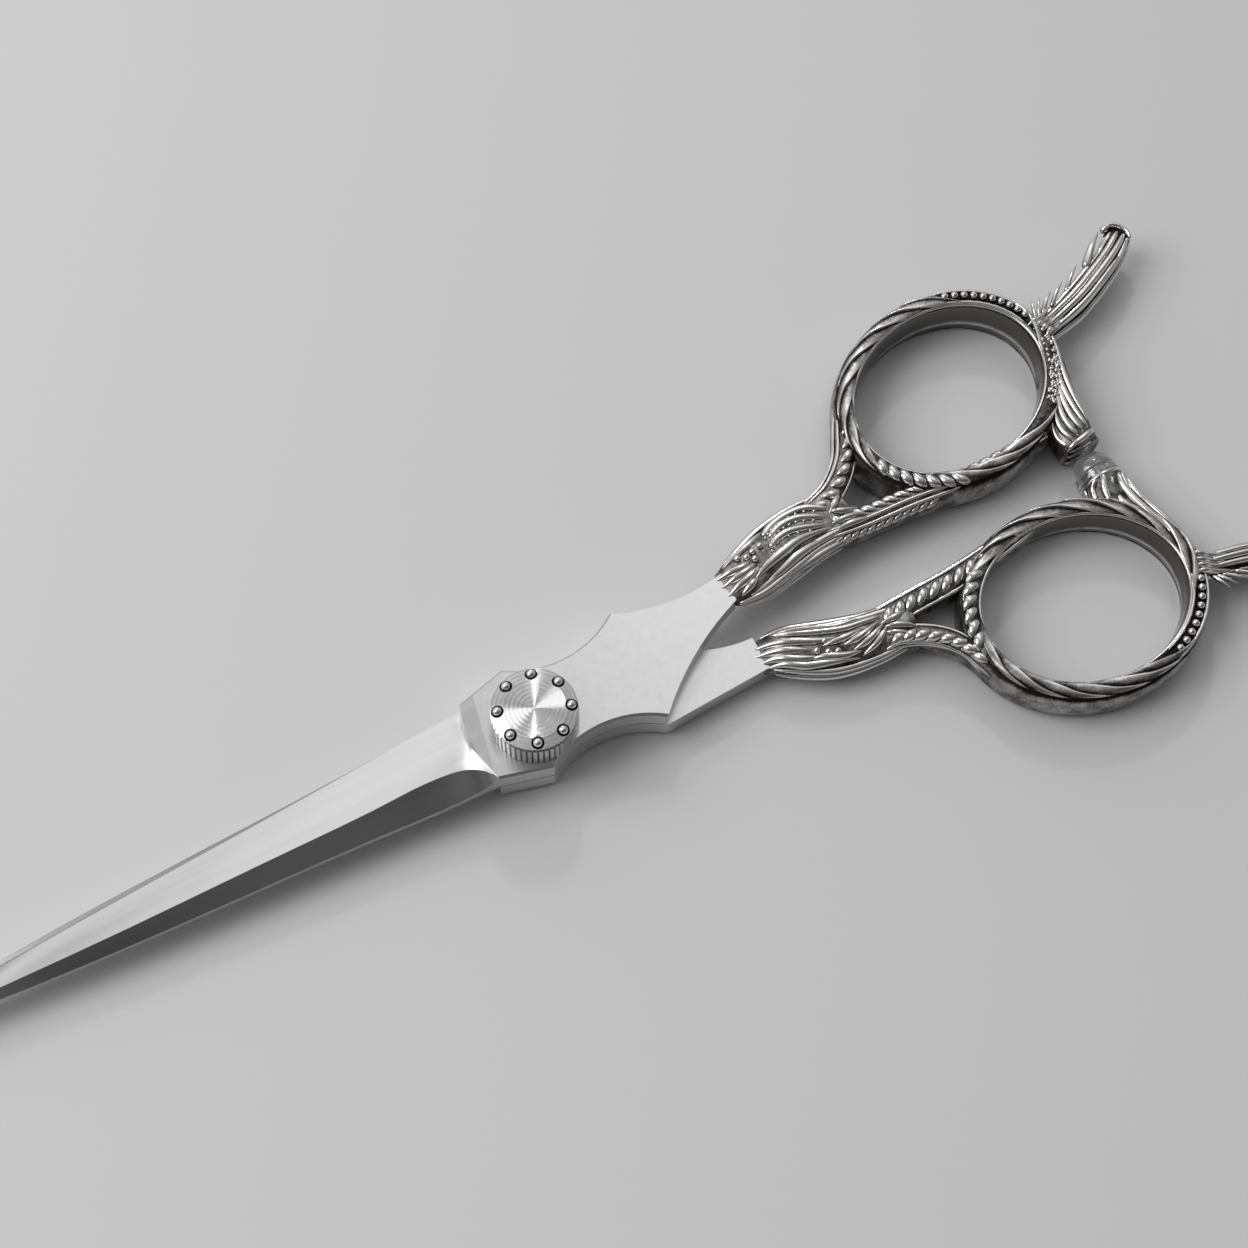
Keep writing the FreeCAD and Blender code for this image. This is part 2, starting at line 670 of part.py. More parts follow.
def finger_handle():
    """Casting of the finger half: neck, two struts, hoop, stop and rest pad."""
    ring = finger_ring
    root = neck([(0.0, 4.5, 4.4, 4.6, 3.1), (2.9, 4.9, 4.3, 6.0, 3.7),
                 (6.9, 6.0, 3.9, 6.5, 4.3), (10.9, 6.9, 3.6, 6.6, 4.7),
                 (14.9, 7.1, 3.3, 6.4, 4.8), (16.6, 7.3, 3.1, 5.6, 4.6)])
    upper = limb([(38.5, 8.3, 3.3, 3.6, 4.4), beside(ring, 176.5, 6.8, 3.2, 4.3),
                  beside(ring, 169, 3.4, 3.0, 4.4), beside(ring, 152.5, 1.5, 2.7, 4.4),
                  beside(ring, 131, 1.4, 1.8, 3.8)])
    lower = limb([(38.5, 5.6, 3.3, 3.8, 4.4), beside(ring, -168.5, 7.3, 3.2, 4.4),
                  beside(ring, -155, 3.3, 3.1, 4.6), beside(ring, -130, 1.0, 2.5, 4.5),
                  beside(ring, -102.5, 0.6, 2.2, 4.4), beside(ring, -76.5, 1.85, 2.4, 4.2)])
    stop_y = bumper_tip_y() + bumper_gap
    stop = limb([beside(ring, -11, 1.3, 2.6, 4.2), beside(ring, -28.5, 1.3, 3.2, 4.5),
                 beside(ring, -48, 1.7, 3.6, 4.6), beside(ring, -61.5, 2.95, 4.5, 4.6),
                 (bumper_x, stop_y + 2.4, bumper_z, 5.0, 4.6),
                 (bumper_x, stop_y - 0.6, bumper_z, 5.4, 4.6)])
    limbs = root.multiFuse([upper, lower, stop.cut(block_below(bumper_x, stop_y)),
                            rest_pad(ring)])
    solid = limbs.cut(hoop_core(ring)).fuse(hoop(ring))
    pocket = tenon(finger_shank["tenon_at"], finger_shank["heading"], finger_mid_z,
                   seat_clearance)
    return solid.cut([pocket, plate_block(), rest_bore(ring)])


def thumb_handle():
    """Casting of the thumb half: neck, two struts, hoop, bumper cup and rest pad."""
    ring = thumb_ring
    root = neck([(0.0, -3.2, 2.2, 4.4, 3.2), (2.9, -4.4, 2.3, 5.6, 3.8),
                 (6.9, -6.1, 2.4, 6.0, 4.3), (10.9, -7.0, 2.5, 5.6, 4.5),
                 (14.9, -7.3, 2.5, 5.2, 4.4), (16.4, -7.4, 2.5, 4.6, 4.2)])
    upper = limb([(38.0, -6.2, 2.5, 3.4, 4.2), beside(ring, 154.5, 7.2, 3.3, 4.3),
                  beside(ring, 141.5, 3.0, 3.1, 4.3), beside(ring, 118.5, 1.0, 2.6, 4.2),
                  beside(ring, 90.5, 1.05, 2.2, 4.1)])
    lower = limb([(38.0, -8.2, 2.5, 2.8, 4.0), beside(ring, 166, 7.7, 2.5, 4.0),
                  beside(ring, 168, 4.5, 2.3, 4.0), beside(ring, 177, 2.05, 2.2, 4.0),
                  beside(ring, -164.5, 1.6, 1.8, 3.8)])
    cup = limb([beside(ring, 40, 0.3, 6.4, 3.8), beside(ring, 48.5, 2.5, 6.0, 4.4),
                (bumper_x - 0.2, bumper_cup_y - 1.3, bumper_z, 5.2, 4.9),
                (bumper_x, bumper_cup_y + 0.5, bumper_z, 5.2, 5.2)])
    shoulder = limb([(bumper_x + 0.6, bumper_cup_y - 1.3, bumper_z, 3.0, 3.8),
                     beside(ring, 34.5, 2.8, 2.7, 4.0), beside(ring, 18.5, 1.9, 2.7, 4.2),
                     beside(ring, 0, 1.7, 2.5, 4.2)])
    mouth = block_below(bumper_x, bumper_cup_y + trim_block)
    limbs = root.multiFuse([upper, lower, cup.cut(mouth), shoulder.cut(mouth), rest_pad(ring)])
    solid = limbs.cut(hoop_core(ring)).fuse(hoop(ring))
    pocket = tenon(thumb_shank["tenon_at"], thumb_shank["heading"], thumb_mid_z,
                   seat_clearance)
    return solid.cut([pocket, bumper_bore(), plate_block(), rest_bore(ring)])


# ---- bumper -------------------------------------------------------------------------------------

def bumper_tip_y():
    """Y of the dome's tip, which touches the stop when the shears close."""
    return bumper_cup_y + bumper_collar + bumper_radius


def bumper_bar(radius, low, high):
    """Round bar along the bumper's axis, between two distances from the cup's mouth."""
    return Part.makeCylinder(radius, high - low, Vector(bumper_x, bumper_cup_y + low, bumper_z),
                             Vector(0, 1, 0))


def bumper_bore():
    """Hole for the bumper's stud, into cup and bumper."""
    return bumper_bar(bumper_stud_radius + seat_clearance, -bumper_stud_hold - stud_room,
                      bumper_stud_reach + stud_room)


def bumper_stud():
    """Steel stud that holds the bumper in its cup."""
    return bumper_bar(bumper_stud_radius, -bumper_stud_hold, bumper_stud_reach)


def bumper():
    """Clear soft dome on a collar."""
    dome = Part.makeSphere(bumper_radius, Vector(bumper_x, bumper_cup_y + bumper_collar, bumper_z),
                           Vector(0, 1, 0), 0, 90, 360)
    return bumper_bar(bumper_radius, 0, bumper_collar).fuse(dome).cut(bumper_bore())


# ---- build ----------------------------------------------------------------------------------------

def parts():
    """Every piece by node name."""
    return {
        "finger_blade": finger_blade(),
        "thumb_blade": thumb_blade(),
        "finger_handle": finger_handle(),
        "thumb_handle": thumb_handle(),
        "finger_side_rest": finger_rest(finger_ring),
        "thumb_side_rest": finger_rest(thumb_ring),
        "finger_rest_stud": rest_stud(finger_ring),
        "thumb_rest_stud": rest_stud(thumb_ring),
        "bumper": bumper(),
        "bumper_stud": bumper_stud(),
        "pivot_bolt": pivot_bolt(),
        "bearing_bush": bearing_bush(),
        "friction_washer": friction_washer(),
        "ride_washer": ride_washer(),
        "click_plate": click_plate(),
        "click_balls": click_balls(),
        "disc_spring": disc_spring(),
        "tension_dial": tension_dial(),
        "dial_nut": dial_nut(),
        "dial_studs": dial_studs(),
    }


def main():
    """Write one STEP file per piece and print its size."""
    os.makedirs("parts", exist_ok=True)
    for name, shape in parts().items():
        box = shape.BoundBox
        print("%-18s solids %d valid %s volume %8.2f  x %.1f..%.1f y %.1f..%.1f z %.2f..%.2f" % (
            name, len(shape.Solids), shape.isValid(), shape.Volume,
            box.XMin, box.XMax, box.YMin, box.YMax, box.ZMin, box.ZMax))
        shape.exportStep("parts/%s.step" % name)


main()
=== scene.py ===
"""Hair cutting shears dressed for the studio: ground blades, sculpted cast handles, knurled dial.

The blades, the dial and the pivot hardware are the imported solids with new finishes.  The two
cast handles, the finger rests and the bumper are sculpted here over the same lines as their
solids.  Lengths in the sculpting classes are millimetres; meshes are written in metres.
"""
from __future__ import annotations

import json
import logging
import math
from dataclasses import dataclass, field
from enum import Enum
from typing import ClassVar

import bpy
import numpy as np
from mathutils import Matrix, Vector


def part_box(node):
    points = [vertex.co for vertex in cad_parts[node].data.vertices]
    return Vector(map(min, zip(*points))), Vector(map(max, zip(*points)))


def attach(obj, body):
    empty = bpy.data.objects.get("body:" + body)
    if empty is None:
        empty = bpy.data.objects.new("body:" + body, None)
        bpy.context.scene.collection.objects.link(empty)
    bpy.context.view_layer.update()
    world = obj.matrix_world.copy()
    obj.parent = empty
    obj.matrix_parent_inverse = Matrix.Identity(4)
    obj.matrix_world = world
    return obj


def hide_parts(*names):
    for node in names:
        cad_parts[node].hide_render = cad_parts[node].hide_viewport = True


MM = 0.001
FINGER_RING_HEIGHT = 5.7
THUMB_RING_HEIGHT = 5.0
log = logging.getLogger("shears")
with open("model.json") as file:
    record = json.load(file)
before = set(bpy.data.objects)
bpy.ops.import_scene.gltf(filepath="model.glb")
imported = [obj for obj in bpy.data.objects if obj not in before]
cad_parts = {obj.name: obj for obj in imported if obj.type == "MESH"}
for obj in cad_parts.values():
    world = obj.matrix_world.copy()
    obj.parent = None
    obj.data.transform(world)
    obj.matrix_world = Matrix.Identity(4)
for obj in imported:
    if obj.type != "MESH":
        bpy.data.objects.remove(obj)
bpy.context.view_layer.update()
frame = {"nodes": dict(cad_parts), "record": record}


# ---- shader helpers --------------------------------------------------------------------------

class Signal:
    """A node socket that can be used in arithmetic; every operation adds one Math node."""

    def __init__(self, graph: Graph, socket: bpy.types.NodeSocket) -> None:
        """Wrap a socket of a graph."""
        self.graph = graph
        self.socket = socket

    def _math(self, operation: str, *values: Signal | float) -> Signal:
        """Add a Math node.

        Args:
            operation: Name of the Math node's operation.
            values: Its inputs, in order.

        Returns:
            The node's result.
        """
        return self.graph.node("ShaderNodeMath", {"operation": operation}, dict(enumerate(values)))

    def __add__(self, other: Signal | float) -> Signal:
        """Sum of two signals."""
        return self._math("ADD", self, other)

    __radd__ = __add__

    def __mul__(self, other: Signal | float) -> Signal:
        """Product of two signals."""
        return self._math("MULTIPLY", self, other)

    __rmul__ = __mul__

    def __sub__(self, other: Signal | float) -> Signal:
        """Difference of two signals."""
        return self._math("SUBTRACT", self, other)

    def __rsub__(self, other: float) -> Signal:
        """A number less this signal."""
        return self._math("SUBTRACT", other, self)

    def __truediv__(self, other: Signal | float) -> Signal:
        """Ratio of two signals."""
        return self._math("DIVIDE", self, other)

    def __pow__(self, other: float) -> Signal:
        """This signal raised to a power."""
        return self._math("POWER", self, other)

    def sine(self) -> Signal:
        """Sine of the signal."""
        return self._math("SINE", self)

    def ramp(self, low: float, high: float) -> Signal:
        """Smooth step from 0 at low to 1 at high.

        Args:
            low: Value that gives 0.
            high: Value that gives 1.

        Returns:
            The stepped signal.
        """
        return self.graph.node("ShaderNodeMapRange", {"interpolation_type": "SMOOTHSTEP"},
                               {0: self, 1: low, 2: high, 3: 0.0, 4: 1.0})


class Graph:
    """Adds nodes to one node tree."""

    def __init__(self, tree: bpy.types.NodeTree) -> None:
        """Start with an emptied tree."""
        self.tree = tree
        self.tree.nodes.clear()

    def put(self, socket: bpy.types.NodeSocket, value: Signal | float | tuple) -> None:
        """Link a signal to a socket, or set the socket's own value.

        Args:
            socket: Input to fill.
            value: Signal or plain value.
        """
        if isinstance(value, Signal):
            self.tree.links.new(value.socket, socket)
        else:
            socket.default_value = value

    def node(self, kind: str, settings: dict, inputs: dict, output: int | str = 0) -> Signal:
        """Add any node.

        Args:
            kind: Node type.
            settings: Attributes set before the sockets.
            inputs: Values or signals by socket name or number.
            output: Which result to return.

        Returns:
            The chosen output.
        """
        made = self.tree.nodes.new(kind)
        for key, value in settings.items():
            setattr(made, key, value)
        for key, value in inputs.items():
            self.put(made.inputs[key], value)
        return Signal(self, made.outputs[output])

    def parts(self, vector: Signal, factor: float = 1.0) -> tuple[Signal, Signal, Signal]:
        """The three components of a vector, times a factor."""
        node = self.node("ShaderNodeSeparateXYZ", {}, {0: vector}).socket.node
        return tuple(Signal(self, node.outputs[i]) * factor for i in range(3))


class Surface(Graph):
    """Builds the node tree of one material round a Principled shader."""

    def __init__(self, name: str) -> None:
        """Start an empty material.

        Args:
            name: Name of the material.
        """
        self.material = bpy.data.materials.new(name)
        self.material.use_nodes = True
        super().__init__(self.material.node_tree)
        output = self.tree.nodes.new("ShaderNodeOutputMaterial")
        self.shader = self.tree.nodes.new("ShaderNodeBsdfPrincipled")
        self.tree.links.new(self.shader.outputs[0], output.inputs["Surface"])

    def set(self, **sockets: Signal | float | tuple) -> None:
        """Fill sockets of the Principled shader; underscores stand for spaces."""
        for key, value in sockets.items():
            self.put(self.shader.inputs[key.replace("_", " ")], value)

    def place(self) -> Signal:
        """Object coordinates."""
        return self.node("ShaderNodeTexCoord", {}, {}, "Object")

    def axes(self) -> tuple[Signal, Signal, Signal]:
        """The three object coordinates, in millimetres."""
        return self.parts(self.place(), 1.0 / MM)

    def noise(self, scale: float, detail: float = 3.0, stretch: tuple = (1.0, 1.0, 1.0)) -> Signal:
        """Noise over the object.

        Args:
            scale: Grains per metre.
            detail: Octaves.
            stretch: Factors on the three axes before the noise is read.

        Returns:
            The noise, around 0.5.
        """
        mapped = self.node("ShaderNodeMapping", {}, {0: self.place(), 3: stretch})
        return self.node("ShaderNodeTexNoise", {}, {"Vector": mapped, "Scale": scale,
                                                    "Detail": detail})

    def mix(self, share: Signal | float, low: Signal | tuple, high: tuple) -> Signal:
        """Blend of two colours."""
        settings = {"data_type": "RGBA"}
        return self.node("ShaderNodeMix", settings, {0: share, 6: low, 7: high}, 2)

    def bump(self, height: Signal, depth: float, strength: float = 1.0) -> Signal:
        """Normal from a height signal.

        Args:
            height: Signal from 0 to 1.
            depth: Height of the relief in millimetres.
            strength: Share of the effect.

        Returns:
            The bent normal.
        """
        return self.node("ShaderNodeBump", {}, {"Height": height, "Distance": depth * MM,
                                                "Strength": strength})

    def attribute(self, name: str) -> Signal:
        """A number stored on the mesh."""
        return self.node("ShaderNodeAttribute", {"attribute_name": name}, {}, "Fac")


def grey(level: float, warmth: float = 0.0) -> tuple:
    """Colour of a metal.

    Args:
        level: Reflectance.
        warmth: Share by which red stands over blue.

    Returns:
        RGBA.
    """
    return (level * (1 + warmth), level, level * (1 - warmth), 1.0)


# ---- finishes --------------------------------------------------------------------------------

@dataclass(frozen=True)
class GroundSteel:
    """Blade steel: mirror-ground blade, satin bolster, fine lengthwise grind lines.

    Attributes:
        name: Name of the material.
        level: Reflectance.
        heel_x: Where the ground blade gives way to the bolster, in millimetres.
    """
    name: str = "ground_blade_steel"
    level: float = 0.66
    heel_x: float = -7.0

    def build(self) -> bpy.types.Material:
        """Make the material.

        Returns:
            The material.
        """
        g = Surface(self.name)
        bolster = g.axes()[0].ramp(self.heel_x - 0.3, self.heel_x + 0.3)
        lines = g.noise(900.0, 4.0, (0.02, 1.0, 1.0))
        cloud = g.noise(60.0, 2.0)
        speck = g.noise(1500.0, 3.0)
        grain = g.noise(5200.0, 2.0, (0.25, 1.0, 1.0))
        tone = 0.86 + lines * 0.10 + cloud * 0.10 + speck * bolster * 0.12
        shade = g.mix(tone.ramp(0.85, 1.1), grey(self.level * 0.84, 0.004),
                      grey(self.level * 1.06, 0.004))
        g.set(Base_Color=shade, Metallic=1.0,
              Roughness=0.12 + bolster * 0.12 + lines * 0.07 + cloud * 0.05,
              Normal=g.bump(lines * 0.5 + grain * 0.15 + (grain + speck) * bolster * 0.5, 0.005,
                            0.4))
        return g.material


@dataclass(frozen=True)
class PatinaAndShadeCasting:
    """Cast handle metal: dark patina and painted shade in the hollows, crests bright from wear and
    painted highlight, polished walls kept dark as a painted dark reflection.

    Attributes:
        name: Name of the material.
        hollow: Reflectance of the hollows: dark patina, darkened further as painted shade.
        crest: Reflectance of the crests: metal bright from wear, lightened further as a painted
            highlight.
        wall: Reflectance of the polished walls of the finger holes, kept dark as a painted dark
            reflection.
    """
    name: str = "patina_and_painted_shade_casting"
    hollow: float = 0.022
    crest: float = 0.70
    wall: float = 0.12

    def build(self) -> bpy.types.Material:
        """Make the material.

        Returns:
            The material.
        """
        g = Surface(self.name)
        # Painted light: crest takes the colour from patina with painted shade in the hollows to wear
        # with painted highlights on the tops; the wall mask keeps the finger holes' walls dark as a
        # painted dark reflection.
        height, polish_and_dark_reflection = g.attribute("crest"), g.attribute("polish_and_dark_reflection")
        polish_and_dark_reflection = polish_and_dark_reflection * (1 - height.ramp(0.45, 0.8))
        mottle = g.noise(650.0, 4.0)
        fine = g.noise(3600.0, 3.0)
        rubbed_and_lit = (height + (mottle - 0.5) * 0.7 + (fine - 0.5) * 0.35).ramp(0.18, 0.92)
        # Colour from dark patina with painted shade up to bright metal with painted highlight.
        worn_and_shaded = g.mix(rubbed_and_lit, grey(self.hollow, 0.14), grey(self.crest, 0.035))
        rough = 0.5 - rubbed_and_lit * 0.3 + (mottle - 0.5) * 0.12
        # The finger holes' smooth walls take the dark wall colour, a painted dark reflection.
        g.set(Base_Color=g.mix(polish_and_dark_reflection, worn_and_shaded, grey(self.wall, 0.04)), Metallic=1.0,
              Roughness=rough * (1 - polish_and_dark_reflection) + (0.1 + mottle * 0.06) * polish_and_dark_reflection,
              Normal=g.bump((fine * 0.6 + mottle * 0.6) * (1 - polish_and_dark_reflection * 0.92), 0.04, 0.45))
        return g.material


@dataclass(frozen=True)
class TurnedSteel:
    """Dial metal: face turned in fine circles about the pivot, painted shade in the knurl's grooves.

    Attributes:
        name: Name of the material.
        level: Reflectance.
        pitch: Spacing of the turned circles in millimetres.
        beat: Fine circles to each broad one.
        tilt: How far the normal leans on the fine circles.
        top_z: Height of the dial's face in millimetres.
        knurl: Radii of the knurl's grooves and of its crests in millimetres, across which the painted
            shade fades.
    """
    name: str = "turned_dial_steel"
    level: float = 0.66
    pitch: float = 0.035
    beat: int = 13
    tilt: float = 0.39
    top_z: float = 9.1
    knurl: tuple = (4.3, 4.52)

    def build(self) -> bpy.types.Material:
        """Make the material; the normal leans in and out from the axis circle by circle.

        Returns:
            The material.
        """
        g = Surface(self.name)
        x, y, z = g.axes()
        radius = (x * x + y * y) ** 0.5
        ring = (radius * (2 * math.pi / self.pitch)).sine()
        broad = (radius * (2 * math.pi / (self.beat * self.pitch))).sine()
        outward = g.node("ShaderNodeCombineXYZ", {}, {0: x / (radius + 0.001),
                                                      1: y / (radius + 0.001), 2: 0.0})
        lean = g.node("ShaderNodeVectorMath", {"operation": "SCALE"},
                      {0: outward, "Scale": (ring + broad * 0.08) * self.tilt})
        straight = g.node("ShaderNodeNewGeometry", {}, {}, "Normal")
        bent = g.node("ShaderNodeVectorMath", {"operation": "ADD"}, {0: straight, 1: lean})
        normal = g.node("ShaderNodeVectorMath", {"operation": "NORMALIZE"}, {0: bent})
        face = g.mix(broad.ramp(-1.0, 1.0), grey(self.level * 0.88, 0.01), grey(self.level, 0.01))
        # Painted shade: the knurl's grooves below the face are painted near black.
        knurl_painted_shade = (1 - z.ramp(self.top_z - 0.1, self.top_z)) * (1 - radius.ramp(*self.knurl))
        g.set(Base_Color=g.mix(knurl_painted_shade * 0.95, face, grey(0.03, 0.05)), Metallic=1.0,
              Roughness=0.18 + broad * 0.02 + knurl_painted_shade * 0.2, Normal=normal)
        return g.material


@dataclass(frozen=True)
class PlainMetal:
    """Machined metal of the small parts, with faint grain and stains.

    Attributes:
        name: Name of the material.
        colour: Colour where it is cleanest.
        roughness: Its middle roughness.
    """
    name: str
    colour: tuple
    roughness: float

    def build(self) -> bpy.types.Material:
        """Make the material.

        Returns:
            The material.
        """
        g = Surface(self.name)
        cloud = g.noise(500.0, 3.0)
        low = tuple(0.82 * c for c in self.colour[:3]) + (1.0,)
        g.set(Base_Color=g.mix(cloud, low, self.colour), Metallic=1.0,
              Roughness=self.roughness + (cloud - 0.5) * 0.12,
              Normal=g.bump(g.noise(4000.0, 2.0), 0.004, 0.3))
        return g.material


@dataclass(frozen=True)
class ClearPlastic:
    """Slightly smoky clear plastic of the bumper.

    Attributes:
        name: Name of the material.
    """
    name: str = "clear_bumper_plastic"

    def build(self) -> bpy.types.Material:
        """Make the material.

        Returns:
            The material.
        """
        g = Surface(self.name)
        cloud = g.noise(400.0, 2.0)
        g.set(Base_Color=g.mix(cloud, (0.76, 0.77, 0.76, 1.0), (0.84, 0.85, 0.84, 1.0)),
              Roughness=0.02 + cloud * 0.02, IOR=1.52, Transmission_Weight=1.0,
              Coat_Weight=1.0, Coat_IOR=1.6)
        return g.material


@dataclass(frozen=True)
class WasherPlastic:
    """Milky low-friction plastic of the washers.

    Attributes:
        name: Name of the material.
    """
    name: str = "washer_plastic"

    def build(self) -> bpy.types.Material:
        """Make the material.

        Returns:
            The material.
        """
        g = Surface(self.name)
        cloud = g.noise(900.0, 3.0)
        g.set(Base_Color=g.mix(cloud, (0.74, 0.74, 0.71, 1.0), (0.82, 0.82, 0.80, 1.0)),
              Roughness=0.45 + cloud * 0.1, Normal=g.bump(cloud, 0.01, 0.3))
        return g.material


@dataclass(frozen=True)
class PaleFloor:
    """Plain pale table.

    Attributes:
        name: Name of the material.
        level: Reflectance.
    """
    name: str = "pale_floor"
    level: float = 0.73

    def build(self) -> bpy.types.Material:
        """Make the material.

        Returns:
            The material.
        """
        g = Surface(self.name)
        g.set(Base_Color=(self.level, self.level, self.level, 1.0), Roughness=0.6,
              Specular_IOR_Level=0.2)
        return g.material


# ---- surfaces --------------------------------------------------------------------------------

@dataclass
class Patch:
    """Closed surface in millimetres.

    Attributes:
        points: Rows of x, y and z.
        quads: Corners of the faces with four.
        tris: Corners of the faces with three.
        crest: How far each point stands out, from 0 in the hollows to 1; on the casting it sets
            patina with painted shade low and wear with painted highlight high.
        polish_and_dark_reflection: 1 where the surface is smooth and painted dark as a reflection.
    """
    points: np.ndarray
    quads: np.ndarray
    tris: np.ndarray
    crest: np.ndarray
    polish_and_dark_reflection: np.ndarray


def tube_patch(rings: np.ndarray, crest: np.ndarray, closed: bool = False,
               polish_and_dark_reflection: np.ndarray | None = None) -> Patch:
    """Skin a stack of rings, with both ends shut by a pole, or joined end to end.

    Args:
        rings: Points as (rings, points per ring, 3).
        crest: Crest value of every point.
        closed: Whether the last ring meets the first.
        polish_and_dark_reflection: Smoothness and painted dark reflection of every point, none if left
            out.

    Returns:
        The closed surface.
    """
    rows, columns = rings.shape[:2]
    index = np.arange(rows * columns).reshape(rows, columns)
    ahead = np.roll(index, -1, axis=1)
    last = rows if closed else rows - 1
    nxt, nxt_ahead = np.roll(index, -1, axis=0), np.roll(ahead, -1, axis=0)
    quads = np.stack([index, ahead, nxt_ahead, nxt], axis=-1)[:last].reshape(-1, 4)
    points = rings.reshape(-1, 3)
    values = crest.reshape(-1)
    gloss_and_dark_reflection = np.zeros(values.shape) if polish_and_dark_reflection is None else polish_and_dark_reflection.reshape(-1)
    tris = np.zeros((0, 3), dtype=int)
    if not closed:
        first_pole, last_pole = rows * columns, rows * columns + 1
        points = np.vstack([points, rings[0].mean(axis=0), rings[-1].mean(axis=0)])
        values = np.concatenate([values, [crest[0].mean(), crest[-1].mean()]])
        gloss_and_dark_reflection = np.concatenate([gloss_and_dark_reflection, gloss_and_dark_reflection[:1], gloss_and_dark_reflection[-1:]])
        start = np.stack([ahead[0], index[0], np.full(columns, first_pole)], axis=-1)
        end = np.stack([index[-1], ahead[-1], np.full(columns, last_pole)], axis=-1)
        tris = np.vstack([start, end])
    return Patch(points, quads, tris, values, gloss_and_dark_reflection)


def build_object(name: str, patches: list[Patch],
                 material: bpy.types.Material) -> bpy.types.Object:
    """Join patches in one object.

    Args:
        name: Name of the piece.
        patches: Its closed surfaces, in millimetres.
        material: Its finish.

    Returns:
        The new object, at the origin.
    """
    offsets = np.cumsum([0] + [len(p.points) for p in patches[:-1]])
    points = np.vstack([p.points for p in patches]) * MM
    quads = np.vstack([p.quads + o for p, o in zip(patches, offsets)])
    tris = np.vstack([p.tris + o for p, o in zip(patches, offsets)])
    corners = np.concatenate([quads.reshape(-1), tris.reshape(-1)]).astype(np.int32)
    totals = np.concatenate([np.full(len(quads), 4), np.full(len(tris), 3)]).astype(np.int32)
    starts = np.concatenate([[0], np.cumsum(totals)[:-1]]).astype(np.int32)
    mesh = bpy.data.meshes.new(name)
    mesh.vertices.add(len(points))
    mesh.vertices.foreach_set("co", points.astype(np.float32).reshape(-1))
    mesh.loops.add(len(corners))
    mesh.loops.foreach_set("vertex_index", corners)
    mesh.polygons.add(len(totals))
    mesh.polygons.foreach_set("loop_start", starts)
    mesh.update(calc_edges=True)
    mesh.polygons.foreach_set("use_smooth", np.ones(len(totals), dtype=bool))
    for layer, values in (("crest", [p.crest for p in patches]),
                          ("polish_and_dark_reflection", [p.polish_and_dark_reflection for p in patches])):
        store = mesh.attributes.new(layer, "FLOAT", "POINT")
        store.data.foreach_set("value", np.concatenate(values).astype(np.float32))
    mesh.materials.append(material)
    made = bpy.data.objects.new(name, mesh)
    bpy.context.scene.collection.objects.link(made)
    log.info("%s: %d points, %d faces", name, len(points), len(totals))
    return made


def spline(knots: np.ndarray, at: np.ndarray, closed: bool = False) -> np.ndarray:
    """Catmull-Rom curve through knots.

    Each span is the cubic whose end slopes are half the chord of the knots on either side.

    Args:
        knots: Control rows.
        at: Places along it, 0 at the first knot and 1 at the last, or at the first again.
        closed: Whether the curve comes back to its start.

    Returns:
        One row per place.
    """
    knots = np.asarray(knots, dtype=float)
    count = len(knots)
    spans = count if closed else count - 1
    place = np.asarray(at, dtype=float) * spans
    base = np.floor(place).astype(int)
    if closed:
        a, b, c, d = (knots[(base + k) % count] for k in (-1, 0, 1, 2))
    else:
        base = np.clip(base, 0, spans - 1)
        padded = np.vstack([2 * knots[0] - knots[1], knots, 2 * knots[-1] - knots[-2]])
        a, b, c, d = (padded[base + k] for k in (0, 1, 2, 3))
    u = (place - base)[..., None]
    return b + 0.5 * u * (c - a + u * (2 * a - 5 * b + 4 * c - d + u * (3 * (b - c) + d - a)))


def unit(vectors: np.ndarray) -> np.ndarray:
    """Vectors scaled to length one."""
    return vectors / np.maximum(np.linalg.norm(vectors, axis=-1, keepdims=True), 1e-9)


def smooth_step(value: np.ndarray, low: float, high: float) -> np.ndarray:
    """Rises from 0 at low to 1 at high with level ends."""
    share = np.clip((value - low) / (high - low), 0.0, 1.0)
    return share * share * (3 - 2 * share)


